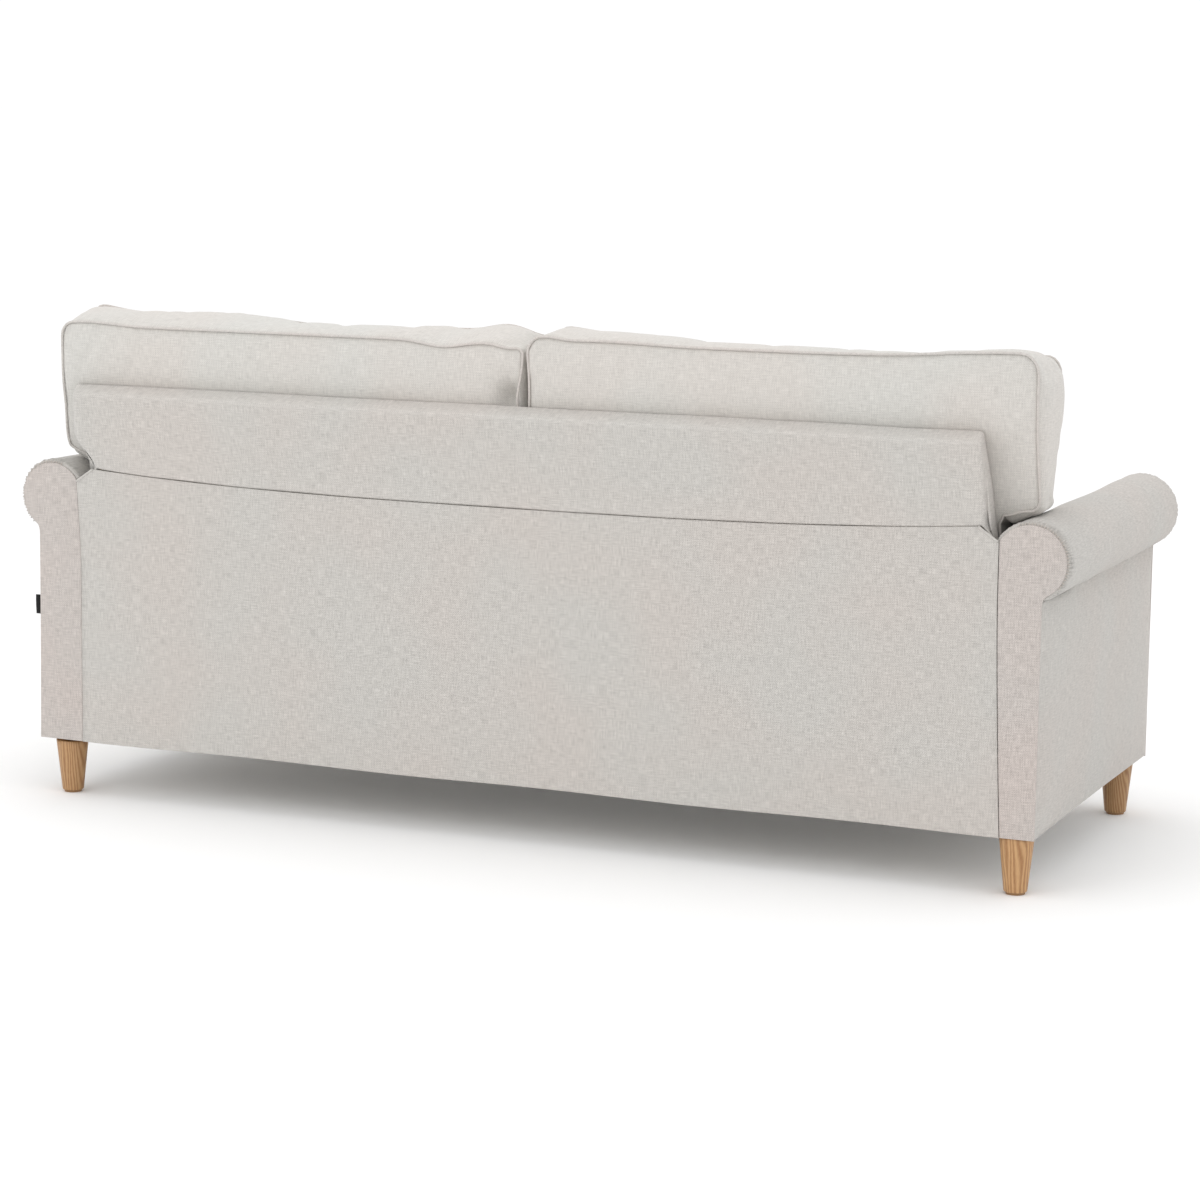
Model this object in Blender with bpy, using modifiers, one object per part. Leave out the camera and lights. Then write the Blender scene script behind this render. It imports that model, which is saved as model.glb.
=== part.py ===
"""Sofa with rolled arms, loose cushions and four turned wooden legs.

Metres, +Z up. The origin is on the floor under the middle of the sofa. The seat faces -Y, so the
sitter's left is +X. Inside the covers is a timber frame: seat rails and leg blocks, plywood scroll
boards that shape the arms, and posts that carry the leaning back. Seat cushions pull out forwards,
and back cushions lift off.
"""
import math

import bmesh
import bpy
from mathutils import Vector

NAME = "sofa_with_wooden_legs"
SIDES = (("left", 1), ("right", -1))
GAP = 0.0003                    # left between pieces that touch
LOOSE = 0.001                   # left round a piece that sits inside a padded curve

# Overall size
WIDTH = 2.000                   # across the two arm rolls
DEPTH = 0.800                   # arm fronts to the top edge of the leaning back
HEIGHT = 0.895                  # top of the back cushions
BASE_Z = 0.100                  # underside of the body, which is the height of the legs
FRONT_Y = -DEPTH / 2
TOP_REAR_Y = DEPTH / 2
BACK_LEAN = 0.030               # how far the top of the back leans past its foot
REAR_Y = TOP_REAR_Y - BACK_LEAN

# Arms: a roll on top of a flat-sided stem
ROLL_RADIUS = 0.0675
ROLL_X = WIDTH / 2 - ROLL_RADIUS
ROLL_Z = 0.5625
ARM_OUTER_X = 0.957
ARM_INNER_X = ROLL_X - ROLL_RADIUS
REAR_SEAM_X = 0.882             # seam between the outside back and the arm's rear facing

# Back: the upper part stands narrower than the lower panel
BACK_TOP_Z = 0.763
BACK_TOP_X = 0.858
SHOULDER_X = 0.844
SHOULDER_Z = 0.617
CORNER_X = 0.878                # the lower panel's top corner, cut off towards the shoulder
CORNER_Z = 0.593
SEAM_SAG = 0.022                # how far the cross seam hangs at the middle
BACK_TOP_RISE = 0.012           # the top face climbs forwards from its rear edge
TOP_EDGE_RADIUS = 0.014
TOP_EDGE_LOSS = 0.0029          # what rounding takes off the depth of the top rear edge
BACK_FRONT_FOOT_Y = 0.226       # the sloping front face of the back, at the deck
BACK_FRONT_TOP_Y = 0.350        # the same face, at the height of the rear top edge

# Thicknesses
PANEL = 0.008                   # cloth over thin wadding
FACING = 0.015                  # padded front of an arm
ARM_PAD = 0.015
BOARD = 0.012                   # plywood scroll board
RAIL = 0.025                    # sawn timber rail
POST = 0.030
EASE = 0.0015                   # bevel on sawn timber

# Seat
FRAME_FOOT_Z = BASE_Z + 0.008   # the rails stop short of the covers' hem
RAIL_TOP_Z = 0.280
DECK_FOOT_Z = 0.285
DECK_Z = 0.300
SEAT_TOP_Z = 0.460
SEAT_REAR_Y = 0.225
CUSHION_SPLIT = 0.0015          # half the gap between a pair of cushions

# Back cushions
CUSHION_DEPTH = 0.160
CUSHION_INNER_ARM_X = 0.862
EAR_X = 0.930
EAR_Z = 0.6350
EAR_BEND_X = 0.915              # from here in to the neck, the ear's underside slopes down
EAR_NECK_Z = 0.602
CUSHION_TOP_Y = 0.357           # rear edge of the cushion's top

# Legs
LEG_X = 0.916
LEG_REAR_Y = 0.338
LEG_FRONT_Y = -0.333
LEG_TOP_RADIUS = 0.030
LEG_FOOT_RADIUS = 0.020
GLIDE_HEIGHT = 0.004
GLIDE_RADIUS = 0.017
BOLT_RADIUS = 0.004
BOLT_DEPTH = 0.035              # how far the bolt goes into the leg
BOLT_TOP_Z = 0.165
BLOCK_TOP_Z = 0.150
BLOCK_DEPTH = 0.050

# Springs and webbing
SPRING_XS = (-0.71, -0.43, -0.15, 0.15, 0.43, 0.71)
SPRING_WIRE = 0.0018
SPRING_SWING = 0.024
SPRING_BENDS = 17
WEBBING_ZS = (0.42, 0.53)
WEBBING_WIDTH = 0.060
WEBBING_THICK = 0.0015
STRETCHER_ZS = (0.120, 0.260)
TACK_RAIL_ZS = (0.310, 0.360)
ARM_RAIL_HALF = (0.030, 0.020)  # half the width and height of the rail inside a roll
DUST_CLOTH = 0.0012

CORNERS = [(end + "_" + side, sign * LEG_X, y)
           for end, y in (("front", LEG_FRONT_Y), ("rear", LEG_REAR_Y))
           for side, sign in SIDES]


def clear_scene():
    for old in list(bpy.data.objects):
        bpy.data.objects.remove(old, do_unlink=True)


def new_collection(name):
    collection = bpy.data.collections.new(name)
    bpy.context.scene.collection.children.link(collection)
    return collection


def new_material(name, colour, roughness, metallic=0.0):
    material = bpy.data.materials.new(name)
    material.use_nodes = True
    shader = material.node_tree.nodes["Principled BSDF"]
    shader.inputs["Base Color"].default_value = (*colour, 1.0)
    shader.inputs["Roughness"].default_value = roughness
    shader.inputs["Metallic"].default_value = metallic
    return material


clear_scene()
PARTS = new_collection(NAME)
CUTTERS = new_collection(NAME + "_cutters")

FINISHES = {
    "linen": ((0.60, 0.575, 0.545), 0.95, 0.0),
    "oak": ((0.47, 0.29, 0.14), 0.45, 0.0),
    "timber": ((0.62, 0.46, 0.29), 0.70, 0.0),
    "plywood": ((0.66, 0.51, 0.34), 0.75, 0.0),
    "steel": ((0.55, 0.55, 0.56), 0.35, 1.0),
    "black_cloth": ((0.02, 0.02, 0.02), 0.95, 0.0),
    "pale_cloth": ((0.58, 0.56, 0.53), 0.95, 0.0),
    "webbing": ((0.35, 0.33, 0.30), 0.90, 0.0),
    "plastic": ((0.30, 0.17, 0.08), 0.50, 0.0),
}


def place(name, data, finish, location=(0, 0, 0), rotation=(0, 0, 0)):
    """Put one sub-part in the model, with a material of its own."""
    obj = bpy.data.objects.new(name, data)
    obj.location = location
    obj.rotation_euler = rotation
    if finish is None:
        CUTTERS.objects.link(obj)
        obj.hide_render = True
        obj.display_type = "WIRE"
        return obj
    PARTS.objects.link(obj)
    data.materials.append(new_material(name, *FINISHES[finish]))
    return obj


def box(name, low, high, finish, bevel=0.0, segments=1):
    """A block between two corners, its edges eased by a bevel."""
    size = Vector(high) - Vector(low)
    mesh = bpy.data.meshes.new(name)
    shape = bmesh.new()
    bmesh.ops.create_cube(shape, size=1.0)
    bmesh.ops.scale(shape, vec=size, verts=shape.verts)
    shape.to_mesh(mesh)
    shape.free()
    obj = place(name, mesh, finish, (Vector(low) + Vector(high)) / 2)
    if bevel:
        rounding = obj.modifiers.new("edges", "BEVEL")
        rounding.width = bevel
        rounding.segments = segments
    return obj


def turned(name, profile, finish, location, steps=32):
    """A round piece: its profile of (radius, height) points swept about its own axis."""
    mesh = bpy.data.meshes.new(name)
    edges = [(index, index + 1) for index in range(len(profile) - 1)]
    mesh.from_pydata([(radius, 0.0, height) for radius, height in profile], edges, [])
    obj = place(name, mesh, finish, location)
    sweep = obj.modifiers.new("turning", "SCREW")
    sweep.steps = steps
    sweep.render_steps = steps
    sweep.use_merge_vertices = True
    sweep.merge_threshold = 0.00001
    return obj


TURNS = {"XY": (0, 0, 0), "XZ": (math.pi / 2, 0, 0), "YZ": (math.pi / 2, 0, math.pi / 2)}
NORMALS = {"XY": Vector((0, 0, 1)), "XZ": Vector((0, 1, 0)), "YZ": Vector((1, 0, 0))}


def slab(name, outline, plane, start, end, finish):
    """A flat outline in the named plane, filled and made as thick as start to end."""
    curve = bpy.data.curves.new(name, "CURVE")
    curve.dimensions = "2D"
    curve.fill_mode = "BOTH"
    curve.extrude = (end - start) / 2
    spline = curve.splines.new("POLY")
    spline.points.add(len(outline) - 1)
    for point, (across, up) in zip(spline.points, outline):
        point.co = (across, up, 0.0, 1.0)
    spline.use_cyclic_u = True
    return place(name, curve, finish, NORMALS[plane] * (start + end) / 2, TURNS[plane])


def as_mesh(obj):
    """The same piece as a closed mesh, so that it can be cut."""
    bpy.context.view_layer.update()
    evaluated = obj.evaluated_get(bpy.context.evaluated_depsgraph_get())
    mesh = bpy.data.meshes.new_from_object(evaluated)
    shape = bmesh.new()
    shape.from_mesh(mesh)
    bmesh.ops.remove_doubles(shape, verts=shape.verts, dist=0.00001)
    bmesh.ops.recalc_face_normals(shape, faces=shape.faces)
    shape.to_mesh(mesh)
    shape.free()
    name = obj.name
    solid = bpy.data.objects.new(name + "_solid", mesh)
    solid.matrix_world = obj.matrix_world.copy()
    solid.hide_render = obj.hide_render
    solid.display_type = obj.display_type
    for collection in obj.users_collection:
        collection.objects.link(solid)
    bpy.data.objects.remove(obj, do_unlink=True)
    solid.name = name
    return solid


def combine(obj, tool, operation):
    """Cut a piece with a tool, or keep what the two share."""
    change = obj.modifiers.new(tool.name, "BOOLEAN")
    change.object = tool
    change.operation = operation
    change.solver = "EXACT"


def arc(centre, radius, start, end, segments):
    """Points along an arc, from one angle to another in radians."""
    angles = [start + (end - start) * step / segments for step in range(segments + 1)]
    return [(centre[0] + radius * math.cos(angle), centre[1] + radius * math.sin(angle))
            for angle in angles]


def rounded(corners, radii, segments=4):
    """The outline through the corners, each turned by an arc of its own radius."""
    outline = []
    for index, (corner, radius) in enumerate(zip(corners, radii)):
        here = Vector(corner)
        if radius == 0:
            outline.append(tuple(here))
            continue
        before = (Vector(corners[index - 1]) - here).normalized()
        after = (Vector(corners[(index + 1) % len(corners)]) - here).normalized()
        half = before.angle(after) / 2
        centre = here + (before + after).normalized() * radius / math.sin(half)
        first = here + before * radius / math.tan(half) - centre
        last = here + after * radius / math.tan(half) - centre
        start = math.atan2(first.y, first.x)
        sweep = (math.atan2(last.y, last.x) - start + math.pi) % (2 * math.pi) - math.pi
        outline += arc(centre, radius, start, start + sweep, segments)
    return outline


def mirrored(outline, sign):
    """The outline for one side of the sofa, still running the same way round."""
    if sign > 0:
        return outline
    return [(-across, up) for across, up in reversed(outline)]


def keyhole(radius, inner_x, outer_x, bottom):
    """A roll on a stem: the outline of an arm's end, on the sitter's left."""
    start = -math.acos((outer_x - ROLL_X) / radius)
    end = math.acos(max(-1.0, (inner_x - ROLL_X) / radius))
    roll = arc((ROLL_X, ROLL_Z), radius, start, end, 24)
    return [(inner_x, bottom), (outer_x, bottom)] + roll


def back_front_y(z):
    """The sloping front face of the back at a height."""
    slope = (BACK_FRONT_TOP_Y - BACK_FRONT_FOOT_Y) / (BACK_TOP_Z - DECK_Z)
    return BACK_FRONT_FOOT_Y + (z - DECK_Z) * slope


def back_rear_y(z):
    """The rear face of the back, which leans above its shoulders."""
    rise = max(0.0, z - SHOULDER_Z) / (BACK_TOP_Z - SHOULDER_Z)
    return REAR_Y + BACK_LEAN * rise


def make_legs():
    """Four turned legs, each on a bolt, with a glide under its foot."""
    leg_top = BASE_Z - GAP
    hole = BOLT_RADIUS + GAP
    leg = [(0, leg_top - BOLT_DEPTH), (hole, leg_top - BOLT_DEPTH), (hole, leg_top),
           (LEG_TOP_RADIUS, leg_top)]
    leg += [(LEG_FOOT_RADIUS, GLIDE_HEIGHT + 0.003), (LEG_FOOT_RADIUS - 0.003, GLIDE_HEIGHT),
            (0, GLIDE_HEIGHT)]
    bolt_foot = leg_top - BOLT_DEPTH + GAP
    bolt = [(0, BOLT_TOP_Z), (BOLT_RADIUS, BOLT_TOP_Z), (BOLT_RADIUS, bolt_foot), (0, bolt_foot)]
    glide_top = GLIDE_HEIGHT - GAP
    glide = [(0, glide_top), (GLIDE_RADIUS, glide_top), (GLIDE_RADIUS - 0.001, 0), (0, 0)]
    for corner, x, y in CORNERS:
        turned("leg_" + corner, leg, "oak", (x, y, 0))
        turned("leg_bolt_" + corner, bolt, "steel", (x, y, 0), steps=12)
        turned("leg_glide_" + corner, glide, "plastic", (x, y, 0), steps=24)


STEM_INNER_X = ARM_INNER_X + ARM_PAD + LOOSE
STEM_OUTER_X = ARM_OUTER_X - PANEL - GAP
BOARD_FRONT_Y = FRONT_Y + FACING + GAP
BOARD_REAR_Y = REAR_Y - PANEL - GAP
SIDE_RAIL_X = STEM_OUTER_X - RAIL
BLOCK_INNER_X = STEM_INNER_X + 0.004


def make_leg_blocks():
    """Corner blocks that take the leg bolts, each with a step that fills in under a side rail."""
    bore = BOLT_RADIUS + GAP
    drill_top = BLOCK_TOP_Z + 0.050
    drill_foot = BASE_Z - 0.050
    tall_x = SIDE_RAIL_X - GAP
    step_z = FRAME_FOOT_Z - GAP
    outline = [(BLOCK_INNER_X, BASE_Z), (STEM_OUTER_X, BASE_Z), (STEM_OUTER_X, step_z),
               (tall_x, step_z), (tall_x, BLOCK_TOP_Z), (BLOCK_INNER_X, BLOCK_TOP_Z)]
    for corner, x, y in CORNERS:
        edge = BOARD_FRONT_Y + BOARD + GAP if y < 0 else BOARD_REAR_Y - BOARD - GAP
        low_y, high_y = sorted((edge, edge + math.copysign(BLOCK_DEPTH, -y)))
        block = slab("leg_block_" + corner, mirrored(outline, math.copysign(1.0, x)), "XZ",
                     low_y, high_y, "timber")
        drill = [(0, drill_top), (bore, drill_top), (bore, drill_foot), (0, drill_foot)]
        drill = turned("drill_" + corner, drill, None, (x, y, 0), steps=16)
        combine(as_mesh(block), drill, "DIFFERENCE")


def make_base_frame():
    """Seat rails and their centre stretcher."""
    end_x = STEM_INNER_X - GAP
    front = (BOARD_FRONT_Y, BOARD_FRONT_Y + RAIL)
    rear = (BOARD_REAR_Y - RAIL, BOARD_REAR_Y)
    for name, (low_y, high_y) in (("seat_rail_front", front), ("seat_rail_rear", rear)):
        box(name, (-end_x, low_y, FRAME_FOOT_Z), (end_x, high_y, RAIL_TOP_Z), "timber", EASE)
    box("seat_stretcher", (-RAIL / 2, front[1] + GAP, STRETCHER_ZS[0]),
        (RAIL / 2, rear[0] - GAP, STRETCHER_ZS[1]), "timber", EASE)
    low_y = BOARD_FRONT_Y + BOARD + GAP
    high_y = BOARD_REAR_Y - BOARD - GAP
    for side, sign in SIDES:
        xs = sorted((sign * SIDE_RAIL_X, sign * STEM_OUTER_X))
        box("seat_rail_" + side, (xs[0], low_y, FRAME_FOOT_Z), (xs[1], high_y, RAIL_TOP_Z),
            "timber", EASE)


def make_arm_frames():
    """Scroll boards at each end of an arm, with a rail between them inside the roll."""
    outline = keyhole(ROLL_RADIUS - ARM_PAD - LOOSE, STEM_INNER_X, STEM_OUTER_X, FRAME_FOOT_Z)
    ends = (("front", BOARD_FRONT_Y, BOARD_FRONT_Y + BOARD),
            ("rear", BOARD_REAR_Y - BOARD, BOARD_REAR_Y))
    for side, sign in SIDES:
        for end, low_y, high_y in ends:
            slab("scroll_board_" + end + "_" + side, mirrored(outline, sign), "XZ",
                 low_y, high_y, "plywood")
        centre = sign * ROLL_X
        half_x, half_z = ARM_RAIL_HALF
        box("arm_top_rail_" + side, (centre - half_x, ends[0][2] + GAP, ROLL_Z - half_z),
            (centre + half_x, ends[1][1] - GAP, ROLL_Z + half_z), "timber", EASE)


POST_TOP_Z = 0.735
TOP_RAIL_HEIGHT = 0.015
CAVITY_X = SHOULDER_X - 0.006


def make_back_frame():
    """Three posts that lean above the arms, the rails between them and the webbing."""
    lean = back_rear_y(POST_TOP_Z) - REAR_Y
    front_y = BOARD_REAR_Y - POST
    outline = [(front_y, RAIL_TOP_Z + GAP), (BOARD_REAR_Y, RAIL_TOP_Z + GAP),
               (BOARD_REAR_Y, SHOULDER_Z), (BOARD_REAR_Y + lean, POST_TOP_Z),
               (front_y + lean, POST_TOP_Z), (front_y, SHOULDER_Z)]
    end_x = CAVITY_X - GAP
    for name, low_x in (("left", end_x - RAIL), ("centre", -RAIL / 2), ("right", -end_x)):
        slab("back_post_" + name, outline, "YZ", low_x, low_x + RAIL, "timber")
    box("back_top_rail", (-end_x, front_y + lean + 0.003, POST_TOP_Z + GAP),
        (end_x, BOARD_REAR_Y + lean, POST_TOP_Z + TOP_RAIL_HEIGHT), "timber", EASE)
    for side, sign in SIDES:
        xs = sorted((sign * (RAIL / 2 + GAP), sign * (end_x - RAIL - GAP)))
        box("back_tack_rail_" + side, (xs[0], BOARD_REAR_Y - RAIL, TACK_RAIL_ZS[0]),
            (xs[1], BOARD_REAR_Y, TACK_RAIL_ZS[1]), "timber", EASE)
    webbing_rear = front_y - GAP
    for number, z in enumerate(WEBBING_ZS, start=1):
        low_z, high_z = z - WEBBING_WIDTH / 2, z + WEBBING_WIDTH / 2
        box("back_webbing_" + str(number), (-end_x, webbing_rear - WEBBING_THICK, low_z),
            (end_x, webbing_rear, high_z), "webbing")


def make_springs():
    """Sinuous springs from the front rail to the rear rail."""
    low_y = BOARD_FRONT_Y + 0.010
    high_y = BOARD_REAR_Y - 0.010
    steps = SPRING_BENDS * 3
    for number, centre_x in enumerate(SPRING_XS, start=1):
        name = "seat_spring_" + str(number)
        curve = bpy.data.curves.new(name, "CURVE")
        curve.dimensions = "3D"
        curve.bevel_depth = SPRING_WIRE
        curve.bevel_resolution = 1
        curve.use_fill_caps = True
        spline = curve.splines.new("POLY")
        spline.points.add(steps)
        for step, point in enumerate(spline.points):
            along = step / steps
            swing = SPRING_SWING * math.sin(math.pi * SPRING_BENDS * along)
            point.co = (centre_x + swing, low_y + (high_y - low_y) * along, 0.0, 1.0)
        place(name, curve, "steel", (0, 0, RAIL_TOP_Z + GAP + SPRING_WIRE))


def make_decks():
    """The platform under the seat cushions, and the dust cover, notched round the blocks."""
    half_x = ARM_INNER_X - GAP
    deck_rear_y = BOARD_REAR_Y - POST - 0.003
    box("seat_deck", (-half_x, BOARD_FRONT_Y, DECK_FOOT_Z),
        (half_x, deck_rear_y, DECK_Z - GAP), "linen", 0.002)
    clear = BOARD + GAP + BLOCK_DEPTH + 0.002
    notch_x = BLOCK_INNER_X - 0.002
    front_notch_y = BOARD_FRONT_Y + clear
    rear_notch_y = BOARD_REAR_Y - clear
    half = [(notch_x, BOARD_FRONT_Y), (notch_x, front_notch_y), (STEM_OUTER_X, front_notch_y),
            (STEM_OUTER_X, rear_notch_y), (notch_x, rear_notch_y), (notch_x, BOARD_REAR_Y)]
    dust_top_z = FRAME_FOOT_Z - GAP
    slab("dust_cover", half + mirrored(half, -1), "XY", dust_top_z - DUST_CLOTH, dust_top_z,
         "pale_cloth")


def make_arm_covers():
    """The roll with its inside face, the outside panel and the facings of each arm."""
    low_y = FRONT_Y + FACING + GAP
    high_y = REAR_Y - PANEL - GAP
    join = -math.acos((ARM_OUTER_X - ROLL_X) / ROLL_RADIUS)
    centre = (ROLL_X, ROLL_Z)
    pad = arc(centre, ROLL_RADIUS, join, math.pi, 28)
    pad += [(ARM_INNER_X, DECK_Z + GAP), (ARM_INNER_X + ARM_PAD, DECK_Z + GAP)]
    pad += arc(centre, ROLL_RADIUS - ARM_PAD, math.pi, join, 20)
    side_top = ROLL_Z + ROLL_RADIUS * math.sin(join) - GAP
    front = keyhole(ROLL_RADIUS, ARM_INNER_X, ARM_OUTER_X, BASE_Z)
    rear = keyhole(ROLL_RADIUS, REAR_SEAM_X + GAP, ARM_OUTER_X, BASE_Z)
    for side, sign in SIDES:
        slab("arm_pad_" + side, mirrored(pad, sign), "XZ", low_y, high_y, "linen")
        slab("arm_front_facing_" + side, mirrored(front, sign), "XZ", FRONT_Y, FRONT_Y + FACING,
             "linen")
        slab("arm_rear_facing_" + side, mirrored(rear, sign), "XZ", REAR_Y - PANEL, REAR_Y,
             "linen")
        xs = sorted((sign * (ARM_OUTER_X - PANEL), sign * ARM_OUTER_X))
        box("arm_side_panel_" + side, (xs[0], low_y, BASE_Z), (xs[1], high_y, side_top), "linen")


def lower_back_outline(grow):
    """The outside back: its top edge hangs a little between the shoulders."""
    seam = []
    for step in range(13):
        across = SHOULDER_X * (1 - step / 6)
        hang = SEAM_SAG * (1 - abs(across / SHOULDER_X) ** 3)
        seam.append((across, SHOULDER_Z - hang + grow))
    edge_x = REAR_SEAM_X - GAP + grow
    corner = (CORNER_X + grow, CORNER_Z + grow)
    foot_z = BASE_Z - grow
    return ([(-edge_x, foot_z), (edge_x, foot_z), corner] + seam + [(-corner[0], corner[1])])


BROW_Z = BACK_TOP_Z + BACK_TOP_RISE     # the back's front top edge


def make_back_covers():
    """The lower outside back, and the cover that runs up the front of the back and over it."""
    slab("back_panel_lower", lower_back_outline(0.0), "XZ", REAR_Y - PANEL, REAR_Y, "linen")

    face = [(ARM_INNER_X - 2 * GAP, DECK_Z + GAP), (ARM_INNER_X - 2 * GAP, 0.575),
            (SHOULDER_X, SHOULDER_Z), (BACK_TOP_X, BROW_Z)]
    corners = [(-x, z) for x, z in face] + [(x, z) for x, z in reversed(face)]
    face = rounded(corners, [0, 0, 0, 0.018, 0.018, 0, 0, 0])
    cover = as_mesh(slab("back_cover_upper", face, "XZ", 0.200, 0.450, "linen"))
    side = [(back_front_y(DECK_Z), DECK_Z), (REAR_Y, DECK_Z), (REAR_Y, SHOULDER_Z),
            (TOP_REAR_Y + TOP_EDGE_LOSS, BACK_TOP_Z), (back_front_y(BROW_Z), BROW_Z)]
    side = rounded(side, [0, 0, 0, TOP_EDGE_RADIUS, TOP_EDGE_RADIUS])
    combine(cover, as_mesh(slab("back_profile", side, "YZ", -1.0, 1.0, None)), "INTERSECT")

    room_front = BOARD_REAR_Y - POST - 0.0025
    room_top_z = POST_TOP_Z + TOP_RAIL_HEIGHT + GAP
    lean = back_rear_y(room_top_z) - REAR_Y
    room = [(room_front, 0.200), (0.500, 0.200), (0.500, 0.580), (REAR_Y - PANEL, 0.580),
            (REAR_Y - PANEL, SHOULDER_Z), (REAR_Y - PANEL + lean, room_top_z),
            (room_front + lean, room_top_z), (room_front, SHOULDER_Z)]
    combine(cover, as_mesh(slab("back_room", room, "YZ", -CAVITY_X, CAVITY_X, None)),
            "DIFFERENCE")
    seam = as_mesh(slab("back_seam", lower_back_outline(GAP), "XZ", BOARD_REAR_Y, 0.500, None))
    combine(cover, seam, "DIFFERENCE")


def make_front_apron():
    half_x = ARM_INNER_X - GAP
    box("front_apron", (-half_x, FRONT_Y + FACING - PANEL, BASE_Z),
        (half_x, FRONT_Y + FACING, DECK_Z - GAP), "linen", 0.0015)


def make_seat_cushions():
    """Loose box cushions that pull out forwards. Each has its origin on its own slide."""
    outer_x = ARM_INNER_X - 0.0015
    for side, sign in SIDES:
        xs = sorted((sign * CUSHION_SPLIT, sign * outer_x))
        box("seat_cushion_" + side, (xs[0], FRONT_Y, DECK_Z), (xs[1], SEAT_REAR_Y, SEAT_TOP_Z),
            "linen", 0.018, 3)


def make_back_cushions():
    """Loose cushions that lean on the back, each with an ear over the arm beside it."""
    foot_z = SEAT_TOP_Z + GAP
    bend_z = 0.745
    face = [(CUSHION_SPLIT, foot_z), (CUSHION_INNER_ARM_X, foot_z),
            (CUSHION_INNER_ARM_X, EAR_NECK_Z), (EAR_BEND_X, EAR_Z), (EAR_X, EAR_Z),
            (EAR_X, HEIGHT), (CUSHION_SPLIT, HEIGHT)]
    face = rounded(face, [0.015, 0.015, 0.008, 0, 0.012, 0.030, 0.025])
    rear = [(back_front_y(foot_z) - 0.001, foot_z), (back_front_y(bend_z) - 0.002, bend_z),
            (CUSHION_TOP_Y, HEIGHT)]
    front = [(y - CUSHION_DEPTH, z) for y, z in reversed(rear)]
    side_view = rounded(rear + front, [0.020, 0, 0.020, 0.020, 0, 0.020])
    profile = as_mesh(slab("cushion_profile", side_view, "YZ", -1.1, 1.1, None))
    for side, sign in SIDES:
        cushion = slab("back_cushion_" + side, mirrored(face, sign), "XZ", 0.050, 0.450, "linen")
        combine(as_mesh(cushion), profile, "INTERSECT")


def make_label():
    """A blank cloth tag caught in the rear seam of the left arm's outside panel."""
    box("blank_label", (ARM_OUTER_X + GAP, REAR_Y - PANEL - 0.0015, 0.338),
        (ARM_OUTER_X + 0.019, REAR_Y - PANEL, 0.374), "black_cloth")


make_legs()
make_leg_blocks()
make_base_frame()
make_arm_frames()
make_back_frame()
make_springs()
make_decks()
make_arm_covers()
make_back_covers()
make_front_apron()
make_seat_cushions()
make_back_cushions()
make_label()
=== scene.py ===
"""The looks of the rolled-arm sofa: its covers, cushions, piping, stitching, legs and materials.

Metres, +Z up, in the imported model's own frame. The seat faces -Y and the sitter's left is +X.
Covers are closed, padded forms with rolled edges, so each seam is a real groove. The loose
cushions are sewn boxes that a cloth simulation fills, and their piping follows the sewn seams.
"""
import math

import bmesh
import bpy
import numpy as np
from mathutils import Matrix, Vector, noise
from mathutils.geometry import delaunay_2d_cdt
from mathutils.kdtree import KDTree


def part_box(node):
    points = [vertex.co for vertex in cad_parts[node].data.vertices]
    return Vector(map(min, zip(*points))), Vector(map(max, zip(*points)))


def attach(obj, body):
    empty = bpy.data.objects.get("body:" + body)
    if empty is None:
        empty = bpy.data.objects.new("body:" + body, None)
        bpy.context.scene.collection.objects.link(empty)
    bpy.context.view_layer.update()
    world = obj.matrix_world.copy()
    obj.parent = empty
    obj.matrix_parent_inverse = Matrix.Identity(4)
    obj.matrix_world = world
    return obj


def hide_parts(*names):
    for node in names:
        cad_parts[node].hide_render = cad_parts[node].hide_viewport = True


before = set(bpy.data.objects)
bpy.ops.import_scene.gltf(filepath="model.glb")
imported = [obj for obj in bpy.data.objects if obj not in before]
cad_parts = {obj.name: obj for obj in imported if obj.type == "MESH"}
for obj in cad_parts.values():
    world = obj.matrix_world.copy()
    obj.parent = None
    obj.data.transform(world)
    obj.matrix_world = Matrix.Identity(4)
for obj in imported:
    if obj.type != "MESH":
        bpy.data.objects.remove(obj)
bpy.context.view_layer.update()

SIDES = (("left", 1), ("right", -1))
BODY = "frame"


# ---- places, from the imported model

PANEL_LOW, PANEL_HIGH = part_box("back_panel_lower")
COVER_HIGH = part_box("back_cover_upper")[1]
PAD_LOW, PAD_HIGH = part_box("arm_pad_left")
SEAT_LOW, SEAT_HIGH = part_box("seat_cushion_left")
BACK_TOP_RISE = 0.012  # the back's top face climbs towards the cushions

REAR_Y = PANEL_HIGH.y  # the flat rear face
FRONT_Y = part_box("arm_front_facing_left")[0].y
BASE_Z = PANEL_LOW.z  # underside of the body
SHOULDER_Z = PANEL_HIGH.z  # where the back narrows, beside the arms
TOP_Z = COVER_HIGH.z - BACK_TOP_RISE  # rear top edge of the back
TOP_REAR_Y = COVER_HIGH.y
DECK_Z = SEAT_LOW.z
SEAT_TOP_Z = SEAT_HIGH.z
ROLL_RADIUS = (PAD_HIGH.x - PAD_LOW.x) / 2
ROLL_X = PAD_HIGH.x - ROLL_RADIUS
ROLL_Z = PAD_HIGH.z - ROLL_RADIUS
ARM_INNER_X = PAD_LOW.x
ARM_OUTER_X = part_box("arm_side_panel_left")[1].x
SEAM_X = PANEL_HIGH.x  # seam between the outside back and an arm
JOIN = -math.acos((ARM_OUTER_X - ROLL_X) / ROLL_RADIUS)
CREASE_Z = ROLL_Z + ROLL_RADIUS * math.sin(JOIN)  # where a roll meets the flat below it


# ---- outlines

def arc(centre, radius, start, end, segments):
    """Points along an arc, its two ends among them."""
    angles = np.linspace(start, end, segments + 1)
    return [(centre[0] + radius * math.cos(a), centre[1] + radius * math.sin(a)) for a in angles]


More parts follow.
